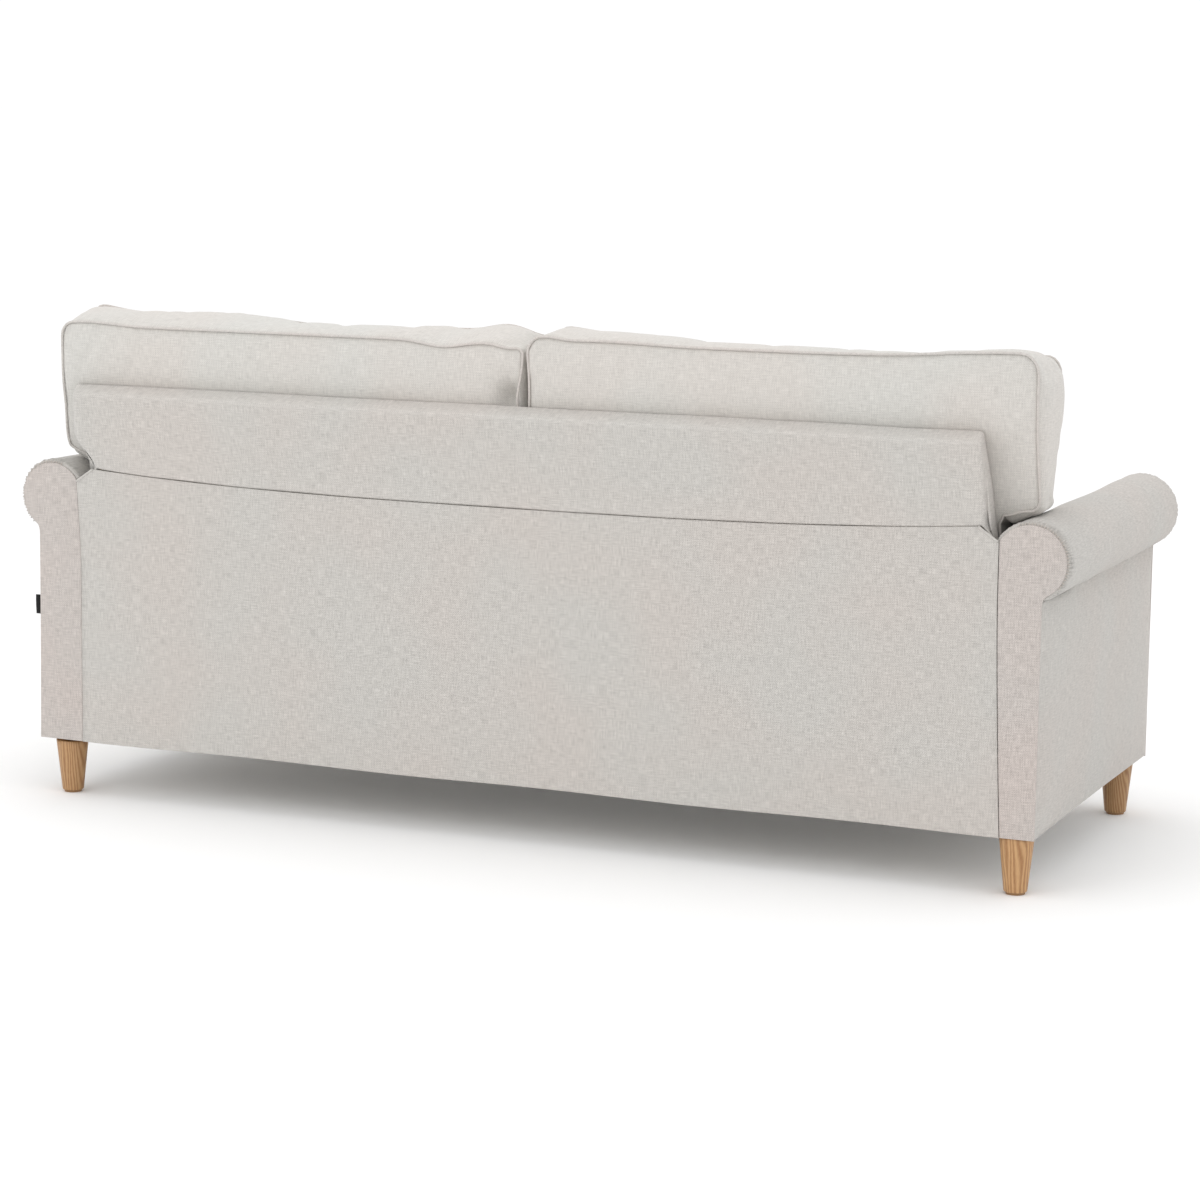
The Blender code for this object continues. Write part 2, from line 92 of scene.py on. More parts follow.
def rounded(corners, radii, segments=5):
    """The outline through the corners, each turned by an arc of its own radius."""
    outline = []
    for index, (corner, radius) in enumerate(zip(corners, radii)):
        here = Vector(corner)
        if radius == 0:
            outline.append(tuple(here))
            continue
        before = (Vector(corners[index - 1]) - here).normalized()
        after = (Vector(corners[(index + 1) % len(corners)]) - here).normalized()
        half = before.angle(after) / 2
        centre = here + (before + after).normalized() * radius / math.sin(half)
        first = here + before * radius / math.tan(half) - centre
        last = here + after * radius / math.tan(half) - centre
        start = math.atan2(first.y, first.x)
        sweep = (math.atan2(last.y, last.x) - start + math.pi) % (2 * math.pi) - math.pi
        outline += arc(centre, radius, start, start + sweep, segments)
    return outline


def resampled(outline, spacing):
    """The closed outline with points no further apart than the spacing, its corners kept."""
    points = []
    for here, there in zip(outline, outline[1:] + outline[:1]):
        here, there = np.array(here), np.array(there)
        count = max(1, math.ceil(np.linalg.norm(there - here) / spacing))
        points += [here + (there - here) * step / count for step in range(count)]
    return np.array(points)


def inset(outline, distance):
    """The outline moved inwards. It runs anticlockwise."""
    before = outline - np.roll(outline, 1, axis=0)
    after = np.roll(outline, -1, axis=0) - outline
    before /= np.linalg.norm(before, axis=1)[:, None]
    after /= np.linalg.norm(after, axis=1)[:, None]
    inward = np.stack([-(before + after)[:, 1], (before + after)[:, 0]], axis=1)
    length = np.linalg.norm(inward, axis=1)[:, None]
    inward /= length
    mitre = np.clip(2 / length, 1, 1.5)
    return outline + inward * mitre * distance


def edge_distance(points, outline):
    """How far each point is from the closed outline, and whether it is inside it."""
    best = np.full(len(points), np.inf)
    inside = np.zeros(len(points), bool)
    for start, end in zip(outline, np.roll(outline, -1, axis=0)):
        along = end - start
        share = np.clip(((points - start) @ along) / max(along @ along, 1e-12), 0, 1)
        best = np.minimum(best, np.linalg.norm(points - start - share[:, None] * along, axis=1))
        straddles = (start[1] > points[:, 1]) != (end[1] > points[:, 1])
        with np.errstate(divide="ignore", invalid="ignore"):
            cross = start[0] + (points[:, 1] - start[1]) * along[0] / along[1]
        inside ^= straddles & (points[:, 0] < cross)
    return best, inside


def filled(outline, spacing):
    """A flat net inside an outline: its points, the outline's first, and its faces."""
    low, high = outline.min(axis=0), outline.max(axis=0)
    counts = np.maximum(2, np.ceil((high - low) / spacing).astype(int))
    across, up = np.meshgrid(*[np.linspace(low[i], high[i], counts[i] + 1) for i in (0, 1)])
    grid = np.stack([across.ravel(), up.ravel()], axis=1)
    distance, inside = edge_distance(grid, outline)
    grid = grid[inside & (distance > spacing * 0.55)]
    points = np.vstack([outline, grid])
    ring = [(i, (i + 1) % len(outline)) for i in range(len(outline))]
    found = delaunay_2d_cdt([Vector(p) for p in points], ring, [], 1, 1e-7)
    origin = [sources[0] for sources in found[3]]
    return points, [[origin[corner] for corner in face] for face in found[2]]


# ---- meshes

def band(low, high, count):
    """Quads between two closed rings of points, given by the number of each ring's first."""
    return [(low + i, low + (i + 1) % count, high + (i + 1) % count, high + i)
            for i in range(count)]


def add_object(name, data):
    obj = bpy.data.objects.new(name, data)
    bpy.context.scene.collection.objects.link(obj)
    return obj


def make_mesh(name, points, faces, quads=True):
    """A smooth mesh object, with its triangles paired into quads and its faces facing out."""
    mesh = bpy.data.meshes.new(name)
    mesh.from_pydata([tuple(map(float, point)) for point in points], [], faces)
    shape = bmesh.new()
    shape.from_mesh(mesh)
    bmesh.ops.triangulate(shape, faces=[face for face in shape.faces if len(face.verts) > 4])
    if quads:
        triangles = [face for face in shape.faces if len(face.verts) == 3]
        bmesh.ops.join_triangles(shape, faces=triangles, angle_face_threshold=0.7,
                                 angle_shape_threshold=0.7)
    bmesh.ops.recalc_face_normals(shape, faces=shape.faces)
    shape.to_mesh(mesh)
    shape.free()
    mesh.shade_smooth()
    return add_object(name, mesh)


def lay_cloth(obj, lay=None):
    """Store where each face corner lies on its cloth, in metres along weft and warp.

    lay gives it for each point. Without it, each face takes it straight from its place.
    """
    mesh = obj.data
    cloth = mesh.attributes.new("cloth", "FLOAT_VECTOR", "CORNER")
    values = np.zeros((len(mesh.loops), 3))
    for face in mesh.polygons:
        facing = max(range(3), key=lambda i: abs(face.normal[i]))
        weft, warp = ((1, 2), (0, 2), (0, 1))[facing]
        for loop in face.loop_indices:
            corner = mesh.loops[loop].vertex_index
            if lay is None:
                at = mesh.vertices[corner].co
                values[loop, :2] = (at[weft], at[warp])
            else:
                values[loop, :2] = lay[corner]
    cloth.data.foreach_set("vector", values.ravel())


def inland(far, reach):
    """0 at an edge, rising to 1 well inside it."""
    return 1 - math.exp(-far / reach)


EDGE_TURNS = [math.radians(angle) for angle in (0, 15, 40, 65, 90)]  # round a rolled edge
CROWN_REACH = 0.045  # how far from its edge a panel reaches its full crown
BACK_SPACING = 0.05  # of the hidden flat backs


def pad(name, outline, place, relief, depth, rim, crown, spacing):
    """A padded panel: a flat outline with a crowned face, rolled edges and a flat back.

    place turns (across, up, out) into a point of the sofa; out is 0 at the face's edge line.
    relief gives the face's small height at (across, up, distance from the edge). rim is the
    radius of its edges, crown the height of its middle, and spacing that of its points.
    """
    outline = resampled(outline, spacing)
    rings = [(inset(outline, rim * (1 - math.sin(turn))), -rim * (1 - math.cos(turn)))
             for turn in EDGE_TURNS]
    rings.append((outline, -depth))
    face_points, faces = filled(rings[0][0], spacing)
    points = []
    for (across, up), far in zip(face_points, edge_distance(face_points, outline)[0]):
        out = crown * inland(max(0.0, far - rim), CROWN_REACH)
        points.append((across, up, out + relief(across, up, far)))
    count = len(outline)
    previous = 0
    for ring, out in rings[1:]:
        faces += band(previous, len(points), count)
        previous = len(points)
        points += [(across, up, out) for across, up in ring]
    back_points, back_net = filled(outline, BACK_SPACING)
    faces += [[previous + corner for corner in face] for face in back_net]
    points += [(across, up, -depth) for across, up in back_points[count:]]
    return make_mesh(name, [place(*point) for point in points], faces)


def loft(name, rings, quads=False):
    """A skin through closed rings of points, with its two ends filled."""
    count = len(rings[0])
    points = [point for ring in rings for point in ring]
    faces = []
    for first in range(0, len(points) - count, count):
        faces += band(first, first + count, count)
    faces += [tuple(range(count))[::-1], tuple(range(len(points) - count, len(points)))]
    return make_mesh(name, points, faces, quads)


def tube(name, path, radius, closed=True, sides=10):
    """A cord of cloth-covered piping along a path of points."""
    path = [Vector(point) for point in path]
    count = len(path)
    facing = Vector((0, 1, 0))
    if closed:
        middle = sum(path, Vector()) / count
        facing = sum(((here - middle).cross(there - middle)
                      for here, there in zip(path, path[1:] + path[:1])), Vector())
    points, lay = [], []
    length = 0.0
    for index, here in enumerate(path):
        before = path[index - 1] if closed or index else here
        after = path[(index + 1) % count] if closed or index < count - 1 else here
        along = (after - before).normalized()
        side = along.cross(facing).normalized()
        up = side.cross(along)
        for step in range(sides):
            turn = 2 * math.pi * step / sides
            points.append(here + (side * math.cos(turn) + up * math.sin(turn)) * radius)
            lay.append((length + radius * turn, length - radius * turn))
        length += (after - here).length
    faces = []
    for index in range(count if closed else count - 1):
        faces += band(index * sides, (index + 1) % count * sides, sides)
    if not closed:
        faces += [tuple(range(sides)), tuple(range((count - 1) * sides, count * sides))]
    obj = make_mesh(name, points, faces, quads=False)
    lay_cloth(obj, lay)
    return obj


# ---- materials

def linear(red, green, blue):
    """A colour given as it looks on a screen, 0 to 255, as the shaders want it."""
    values = [value / 255 for value in (red, green, blue)]
    return tuple(v / 12.92 if v <= 0.04045 else ((v + 0.055) / 1.055) ** 2.4 for v in values)


class Nodes:
    """A short way to add and join shader nodes."""

    def __init__(self, name):
        self.material = bpy.data.materials.new(name)
        self.material.use_nodes = True
        self.tree = self.material.node_tree
        self.shader = self.tree.nodes["Principled BSDF"]

    def add(self, kind, inputs=None, **settings):
        made = self.tree.nodes.new("ShaderNode" + kind)
        for key, value in settings.items():
            setattr(made, key, value)
        for key, value in (inputs or {}).items():
            self.give(made.inputs[key], value)
        return made

    def give(self, socket, value):
        """Set a socket to a value, or join another node's output to it."""
        if isinstance(value, bpy.types.NodeSocket):
            self.tree.links.new(value, socket)
        else:
            socket.default_value = value

    def surface(self, inputs):
        for key, value in inputs.items():
            self.give(self.shader.inputs[key], value)

    def math(self, operation, *values):
        made = self.add("Math", operation=operation)
        for socket, value in zip(made.inputs, values):
            self.give(socket, value)
        return made.outputs[0]

    def stretch(self, vector, scale, offset=(0, 0, 0)):
        made = self.add("Mapping", {"Vector": vector, "Scale": scale, "Location": offset})
        return made.outputs[0]

    def noise(self, vector, scale=1.0, detail=2.0, roughness=0.5):
        made = self.add("TexNoise", {"Vector": vector, "Scale": scale, "Detail": detail,
                                     "Roughness": roughness})
        return made.outputs["Fac"]

    def ramp(self, factor, stops):
        made = self.add("ValToRGB", {"Fac": factor})
        elements = made.color_ramp.elements
        while len(elements) < len(stops):
            elements.new(0.5)
        for element, (position, colour) in zip(elements, stops):
            element.position = position
            element.color = (*colour, 1.0)
        return made.outputs["Color"]

    def bump(self, height, strength, distance):
        made = self.add("Bump", {"Height": height, "Strength": strength, "Distance": distance})
        self.surface({"Normal": made.outputs[0]})


THREAD = 0.0020  # pitch of the weave
SLUB_LENGTH = 0.019
SLUB_WIDTH = 0.0018
WARM = (1.012, 0.992, 0.985)  # the two casts of undyed linen yarn
COOL = (0.992, 1.003, 1.004)
EVEN = (1, 1, 1)


def woven(name, colour, casts=(COOL, WARM), contrast=0.25, pitch=THREAD, relief=0.00035):
    """Plain weave of slubby yarn: threads, thick and thin stretches, and a faint two-tone cast."""
    m = Nodes(name)
    cool, warm = [[c * cast for c, cast in zip(linear(*colour), cast_of)] for cast_of in casts]
    cloth = m.add("Attribute", attribute_name="cloth").outputs["Vector"]
    place = m.add("TexCoord").outputs["Object"]
    parts = m.add("SeparateXYZ", {"Vector": cloth})
    turns = [m.math("SINE", m.math("MULTIPLY", parts.outputs[i], math.pi / pitch))
             for i in (0, 1)]
    cells = m.math("MULTIPLY_ADD", m.math("MULTIPLY", *turns), 0.5, 0.5)
    weft = m.noise(m.stretch(cloth, (1 / SLUB_LENGTH, 1 / SLUB_WIDTH, 1)), detail=2)
    warp = m.noise(m.stretch(cloth, (1 / SLUB_WIDTH, 1 / SLUB_LENGTH, 1), (3.7, 1.3, 0)),
                   detail=2)
    yarn = m.math("ADD", weft, warp)
    patches = m.noise(place, 5.0, 1.0, 0.5)
    height = m.math("MULTIPLY_ADD", cells, 0.6, m.math("MULTIPLY", yarn, 0.5))
    shade = m.math("MULTIPLY_ADD", m.math("SUBTRACT", yarn, 1.0), contrast * 2.2, 1.0)
    shade = m.math("MULTIPLY_ADD", m.math("SUBTRACT", cells, 0.5), contrast * 0.8, shade)
    tint = m.ramp(patches, [(0.35, cool), (0.65, warm)])
    tinted = m.add("VectorMath", {0: tint, "Scale": shade}, operation="SCALE").outputs[0]
    m.surface({"Base Color": tinted, "Roughness": 0.92, "Specular IOR Level": 0.25,
               "Sheen Weight": 0.18, "Sheen Roughness": 0.55})
    m.bump(height, 0.55, relief)
    return m.material


def wooden(name, light, dark, offset, roughness=0.42, shade=1.0):
    """Wood with its grain along Z: soft growth bands, fine pores and a satin finish."""
    m = Nodes(name)
    # shade darkens the whole wood evenly; the legs use it for painted shade
    light, dark = [[value * shade for value in linear(*colour)] for colour in (light, dark)]
    between = [(a + b) / 2 for a, b in zip(light, dark)]
    place = m.add("TexCoord").outputs["Object"]
    bent = m.noise(m.stretch(place, (14, 14, 3), offset), detail=2)
    drift = m.add("CombineXYZ", {"X": m.math("MULTIPLY", bent, 0.05)}).outputs[0]
    across = m.add("VectorMath", {0: m.stretch(place, (1, 1, 0.06), offset), 1: drift},
                   operation="ADD").outputs[0]
    bands = m.add("TexWave", {"Vector": across, "Scale": 70.0, "Distortion": 2.5,
                              "Detail": 2.0, "Detail Scale": 1.2}, bands_direction="X")
    pores = m.noise(m.stretch(place, (900, 900, 22), offset), detail=2)
    figure = m.math("MULTIPLY_ADD", bands.outputs["Fac"], 0.55, m.math("MULTIPLY", pores, 0.6))
    m.surface({"Base Color": m.ramp(figure, [(0.25, light), (0.62, between), (0.9, dark)]),
               "Roughness": m.math("MULTIPLY_ADD", pores, 0.2, roughness - 0.1)})
    m.bump(pores, 0.25, 0.0002)
    return m.material


def plain(name, colour, roughness, metallic=0.0, scale=60.0):
    """Metal, plastic or thread with a faint uneven finish."""
    m = Nodes(name)
    place = m.add("TexCoord").outputs["Object"]
    patches = m.noise(place, scale, 4.0, 0.6)
    darker, lighter = [[c * share for c in linear(*colour)] for share in (0.92, 1.08)]
    m.surface({"Base Color": m.ramp(patches, [(0.3, darker), (0.7, lighter)]),
               "Roughness": m.math("MULTIPLY_ADD", patches, 0.2, roughness - 0.1),
               "Metallic": metallic})
    m.bump(patches, 0.3, 0.0001)
    return m.material


LINEN = woven("linen", (192, 188, 183))
# painted shade: a darker copy of the linen for the arm rolls and outside panels, for the shade on
# the sofa's sides
LINEN_ARM_PAINTED_SHADE = woven("linen_arm_painted_shade", (187, 183, 178))
# painted light: a lighter copy of the linen for the upper back, for the top light on its backward
# lean
LINEN_TOP_PAINTED_LIGHT = woven("linen_upper_back_painted_light", (194, 190, 185))
# painted light: a lighter copy of the linen for the cushions, for the brighter light they catch
LINEN_CUSHION_PAINTED_LIGHT = woven("linen_cushion_painted_light", (203, 200, 195), contrast=0.18)
LINEN_FACING = woven("linen_facing", (191, 183, 178), contrast=0.28)
PIPING = woven("linen_bias", (200, 195, 190))
THREAD_COTTON = plain("sewing_thread", (186, 177, 169), roughness=0.8)
BLACK_TAPE = woven("black_tape", (26, 26, 27), casts=(EVEN, EVEN), contrast=0.2,
                   pitch=0.0008, relief=0.0002)
DUST_CLOTH = woven("dust_cloth", (205, 202, 197), casts=(EVEN, EVEN), contrast=0.1,
                   pitch=0.0012, relief=0.0001)
ELASTIC = plain("elastic_webbing", (150, 145, 138), roughness=0.9, scale=300.0)
STEEL = plain("zinc_steel", (188, 188, 192), roughness=0.35, metallic=1.0)
SPRING_STEEL = plain("spring_wire", (160, 160, 164), roughness=0.3, metallic=1.0)
PLASTIC = plain("glide_plastic", (150, 116, 80), roughness=0.5)
TIMBER = wooden("sawn_timber", (214, 186, 146), (180, 146, 104),
                offset=(0, 0, 0), roughness=0.7)
PLYWOOD = wooden("plywood", (220, 195, 158), (186, 154, 114),
                 offset=(2, 1, 0), roughness=0.75)


def finish_piece(obj, material, body=BODY):
    """The material and body of one shown piece."""
    obj.data.materials.clear()
    obj.data.materials.append(material)
    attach(obj, body)


def upholster(obj, material=LINEN, fill=0.9, body=BODY):
    """The same for a padded piece, with its cloth's threads."""
    if "cloth" not in obj.data.attributes:
        lay_cloth(obj)
    finish_piece(obj, material, body)


# ---- outside back

SEAM_SAG = 0.022  # how far the cross seam hangs at the middle
SHOULDER_X = 0.844
CORNER = (0.879, 0.593)  # the lower panel's cut-off corner
BACK_TOP_X = COVER_HIGH.x - 0.007
BACK_FOOT_Y, BACK_BROW_Y = 0.226, 0.350  # front slope of the back, at the deck and at the top
BACK_SPREAD_X = 0.864  # half its width beside the arms, at its front
OUTSIDE_Y = REAR_Y + 0.0015  # the edge line of the outside back
HEM_RADIUS = 0.0022  # of the turned hem along a cut-off corner
HEM_RAISED = 0.0025  # the hem above the underside of the body


def lumps(x, y, z, size, height):
    """Gentle unevenness of stuffing, repeating about every given size."""
    return height * noise.noise(Vector((x, y, z)) / size)


def hem_z(x, y):
    """The hem under the body, never quite straight."""
    tilt = 0.0028 * x
    wave = 0.0012 * math.sin(11 * x + 6 * y)
    return BASE_Z + HEM_RAISED + tilt + wave


def hang(z):
    """How far down the body a height is: 0 where an arm meets its roll, 1 at the hem."""
    return max(0.0, (CREASE_Z - z) / (CREASE_Z - BASE_Z))


def seam_x(sign, z):
    """The upright seams behind: the left one is drawn in below its top, the right one flares."""
    if sign > 0:
        drawn = 0.0085 * min(1.0, max(0.0, (CORNER[1] - z) / 0.14))
        return CORNER[0] - drawn + 0.0025 * hang(z)
    flare = 0.0145 * hang(z) ** 1.35
    return -CORNER[0] - flare


def arm_outer_x(sign, z):
    """The outside of an arm. The left cover stands out a little, more so towards its hem."""
    if sign < 0:
        return ARM_OUTER_X - 0.003
    flare = 0.0045 * hang(z) ** 1.5
    return ARM_OUTER_X + 0.004 + flare


def seam_z(x):
    """The cross seam's height. Past the shoulders it runs down to the cut-off corners."""
    share = min(abs(x) / SHOULDER_X, 1.0)
    beyond = max(0.0, abs(x) - SHOULDER_X)
    slope = (SHOULDER_Z - CORNER[1]) / (CORNER[0] - SHOULDER_X)
    return SHOULDER_Z - SEAM_SAG * (1 - share ** 3) - slope * beyond


def make_outside_back():
    """The flat cloth behind, from the hem to the cross seam, with a hem on each cut-off corner."""
    seam = [(x, seam_z(x)) for x in np.linspace(SHOULDER_X, -SHOULDER_X, 49)]
    foot = [(x, hem_z(x, REAR_Y))
            for x in np.linspace(seam_x(-1, BASE_Z), seam_x(1, BASE_Z), 49)]
    heights = np.linspace(BASE_Z, CORNER[1], 21)[1:]
    left = [(seam_x(1, z), z) for z in heights]
    right = [(seam_x(-1, z), z) for z in heights[::-1]]
    outline = foot + left + seam + right

    def relief(x, z, far):
        pucker = 0.0005 * math.sin(190 * x + 3 * math.sin(23 * x)) * math.exp(-far / 0.014)
        return pucker + lumps(x, 0, z, 0.22, 0.0016) * inland(far, 0.05)

    upholster(pad("outside_back_cover", outline, lambda x, z, out: (x, OUTSIDE_Y + out, z),
                  relief, depth=0.0085, rim=0.0012, crown=0.002, spacing=0.010))
    for side, sign in SIDES:
        start = Vector((sign * CORNER[0], OUTSIDE_Y, CORNER[1]))
        end = Vector((sign * SHOULDER_X, OUTSIDE_Y - 0.0005, SHOULDER_Z))
        path = [start.lerp(end, share) for share in np.linspace(0.02, 1.0, 12)]
        hem = tube("corner_hem_" + side, path, HEM_RADIUS, closed=False)
        upholster(hem, LINEN, 1.0)


# ---- upper back

SHELL = 0.006  # thickness of the padded cloth
TUCK = 0.012  # how far it runs down behind the outside back
FOLD_DEPTH, FOLD_HEIGHT = 0.0085, 0.0028  # its step inwards at the cross seam
TOP_EDGE = 0.008  # its rolled edge along the top
UPRIGHT_EDGE = 0.012  # and the larger one up its corners
RING_TOP = TOP_Z - TOP_EDGE
SIDE_FOOT_Z = 0.585  # its lower edge beside the arms
LEFT_BULGE, LEFT_SLOPE, LEFT_SKEW = 0.038, 0.185, 0.018  # the pull of its worn left end
RIGHT_STEP, RIGHT_SLOPE, RIGHT_SKEW = 0.0147, 0.13, 0.010  # and of its right end
FRONT_FOOT_Z = DECK_Z + 0.001


def back_rear_y(z):
    """The rear face of the back, leaning in above the shoulders."""
    share = max(0.0, (z - SHOULDER_Z) / (TOP_Z - SHOULDER_Z))
    return REAR_Y + (TOP_REAR_Y - REAR_Y) * share


def back_front_y(z):
    """Its sloping front face."""
    return BACK_FOOT_Y + (BACK_BROW_Y - BACK_FOOT_Y) * (z - DECK_Z) / (TOP_Z - DECK_Z)


def roll_inner_x(z):
    """Where the inside of an arm is at a height."""
    if z <= ROLL_Z:
        return ARM_INNER_X
    rise = min(z - ROLL_Z, ROLL_RADIUS)
    return ROLL_X - math.sqrt(ROLL_RADIUS ** 2 - rise ** 2)


def back_half_width(z, forward):
    """Half the back's width: the shoulders spread forwards to fill in beside the rolls."""
    up = np.clip((z - SHOULDER_Z) / (TOP_Z - SHOULDER_Z), 0, 1)
    rear = SHOULDER_X + (BACK_TOP_X - SHOULDER_X) * up
    front = BACK_SPREAD_X + (BACK_TOP_X + 0.001 - BACK_SPREAD_X) * up
    if z < SHOULDER_Z:
        front = min(front, roll_inner_x(z) - 0.0015)
        rear = min(rear + min(0.02, SHOULDER_Z - z), front)
    return rear + (front - rear) * forward


def back_stations():
    """The points of half a ring round the back, as a stretch's name and a share or angle."""
    turn = np.linspace(0, math.pi / 2, 6)
    stretches = (("rear", np.linspace(0, 1, 150)[:-1]), ("rear_corner", turn),
                 ("side", np.linspace(0, 1, 16)[1:-1]), ("front_corner", turn),
                 ("front", np.linspace(1, 0, 90)[1:]))
    return [(stretch, share) for stretch, shares in stretches for share in shares]


def back_foot_z(stretch, share):
    """The lower edge of the cloth: behind the cross seam, then down to the deck in front."""
    if stretch in ("front_corner", "front"):
        return FRONT_FOOT_Z
    if stretch == "side":
        forward = min(1.0, max(0.0, share * 3 - 0.3))
        return SIDE_FOOT_Z + (FRONT_FOOT_Z - SIDE_FOOT_Z) * forward
    if stretch == "rear":
        return seam_z((SHOULDER_X - UPRIGHT_EDGE) * share) - TUCK
    low = seam_z(SHOULDER_X) - TUCK
    return min(low, low + (SIDE_FOOT_Z - low) * (share - 0.4))


def back_point(stretch, share, level, grow):
    """A point of the back's +X half, at a level from 0 to 1, set inwards by grow."""
    forward = {"rear": 0.0, "rear_corner": 0.0, "side": share}.get(stretch, 1.0)
    low = back_foot_z(stretch, share)
    high = RING_TOP + BACK_TOP_RISE * forward
    z = low + 0.0008 + (high - low) * level
    half = back_half_width(z, forward) - grow
    rear, front = back_rear_y(z) - grow, back_front_y(z) + grow
    if stretch in ("rear", "rear_corner"):
        above = (z - low - TUCK + 0.0005) / FOLD_HEIGHT
        rear -= FOLD_DEPTH * min(1.0, max(0.0, 1 - above)) ** 2
    radius = UPRIGHT_EDGE - grow * 0.5
    if stretch == "rear":
        return ((half - radius) * share, rear, z)
    if stretch == "rear_corner":
        return (half - radius + radius * math.sin(share),
                rear - radius + radius * math.cos(share), z)
    if stretch == "side":
        behind = back_rear_y(SHOULDER_Z + (RING_TOP - SHOULDER_Z) * level) - grow - radius
        brow = RING_TOP + BACK_TOP_RISE
        ahead = back_front_y(DECK_Z + (brow - DECK_Z) * level) + grow + radius
        return (half, behind + (ahead - behind) * share, z)
    if stretch == "front_corner":
        return (half - radius + radius * math.cos(share),
                front + radius - radius * math.sin(share), z)
    return ((half - radius) * share, front, z)


def back_lean(points):
    """How far each point is pulled towards +X by the worn, uneven ends of the back."""
    rise = np.clip(points[:, 2] - SHOULDER_Z, 0, TOP_Z - SHOULDER_Z)
    shoulder = np.clip((points[:, 2] - CORNER[1]) / (SHOULDER_Z - CORNER[1]), 0, 1)
    rear = REAR_Y + (TOP_REAR_Y - REAR_Y) * rise / (TOP_Z - SHOULDER_Z)
    ahead = np.clip((rear - points[:, 1]) / 0.05, 0, 1)
    depth = (points[:, 1] - BACK_FOOT_Y) / (REAR_Y - BACK_FOOT_Y)
    swell = np.clip(rise / 0.065, 0, 1)
    bulge = LEFT_BULGE * swell ** 2 * (3 - 2 * swell)
    left = bulge - LEFT_SLOPE * rise + LEFT_SKEW * ahead * np.clip(rise / 0.08, 0, 1)
    behind = (RIGHT_SLOPE * rise - RIGHT_STEP * shoulder) * np.clip(2 * depth - 1, 0, 1)
    right = behind + RIGHT_SKEW * ahead * shoulder
    side = np.where(points[:, 0] > 0, left, right)
    return side * (np.abs(points[:, 0]) / BACK_TOP_X) ** 3


def back_ring(level, grow=0.0):
    """One level of the cloth round the back."""
    half = [back_point(stretch, share, level, grow) for stretch, share in back_stations()]
    other = [(-x, y, z) for x, y, z in half[-2:0:-1]]
    whole = np.array(half + other)
    whole[:, 0] += back_lean(whole)
    return whole


def make_upper_back():
    """One cloth over the front, top and sides of the back, down to the cross seam behind."""
    levels = np.concatenate([np.linspace(0, 0.13, 12), np.linspace(0.13, 1, 22)[1:]])
    outer = [back_ring(level) for level in levels]
    rim = outer[-1]
    plan = rim[:, :2][::-1]
    for angle in np.linspace(0, math.pi / 2, 6)[1:]:
        moved = inset(plan, TOP_EDGE * (1 - math.cos(angle)))[::-1]
        outer.append(np.column_stack([moved, rim[:, 2] + TOP_EDGE * math.sin(angle)]))
    inner = [back_ring(level, SHELL) for level in levels]
    inner[-1][:, 2] += TOP_EDGE - SHELL
    for ring in outer[1:]:
        for point in ring:
            point[1] += lumps(*point, 0.13, 0.0018)
            point[2] += lumps(point[0], 5, point[2], 0.16, 0.0016)
    upholster(loft("upper_back_cover", inner[::-1] + outer, quads=True), LINEN_TOP_PAINTED_LIGHT)


# ---- arms

SEAM_INSET = 0.0055  # from the roll's edge to its facing's seam
ROLL_PAD = 0.0135
ROLL_LOW_Y, ROLL_HIGH_Y = FRONT_Y + 0.0055, REAR_Y - 0.0038
ROLL_BEND = 0.008  # the length in which a roll turns in to its seam
SEAM_GAP = 0.0010  # groove between the outside back and a rear facing
SEAM_RADIUS = ROLL_RADIUS - SEAM_INSET
PLEAT_HEIGHT, PLEAT_LENGTH = 0.0016, 0.030
PUCKER_HEIGHT, PUCKER_LENGTH = 0.0024, 0.012
FRONT_GATHER = 0.4  # how much the roll's front end is gathered, beside its rear end
NECK_TURN, NECK_DROP = 0.22, 0.014  # a facing's soft turn between its scroll and stem


def on_roll(angle, radius):
    """The x and z of a point round the left arm's roll."""
    return ROLL_X + radius * math.cos(angle), ROLL_Z + radius * math.sin(angle)


def gathers(angle, y, end):
    """The height of the pleats near an end of the roll: broad ones, and fine puckers."""
    broad = PLEAT_HEIGHT * math.sin(34 * angle + 2 * math.sin(9 * angle + y))
    fine = PUCKER_HEIGHT * math.sin(97 * angle + 2 * math.sin(7 * angle))
    height = broad * math.exp(-end / PLEAT_LENGTH) + fine * math.exp(-end / PUCKER_LENGTH)
    outer_side = 0.2 + 0.8 / (1 + math.exp((angle - 1.8) / 0.12))
    return height * min(1.0, end / 0.003) * (1.0 if y > 0 else FRONT_GATHER) * outer_side


def roll_radius(angle, y, shrink):
    """The scroll's radius at a place: gathered at its ends, sagging and soft between them."""
    end = min(y - ROLL_LOW_Y, ROLL_HIGH_Y - y)
    from_crease = min(1.0, (angle - JOIN) / 0.35)
    soft = lumps(math.cos(angle), math.sin(angle), y * 8, 0.9, 0.0016)
    along = (y - ROLL_LOW_Y) / (ROLL_HIGH_Y - ROLL_LOW_Y)
    sag = 0.0015 * math.sin(math.pi * along) * math.sin(angle)
    height = gathers(angle, y, end) * from_crease + (soft - sag) * min(1, end / 0.03)
    return ROLL_RADIUS - shrink + height * from_crease


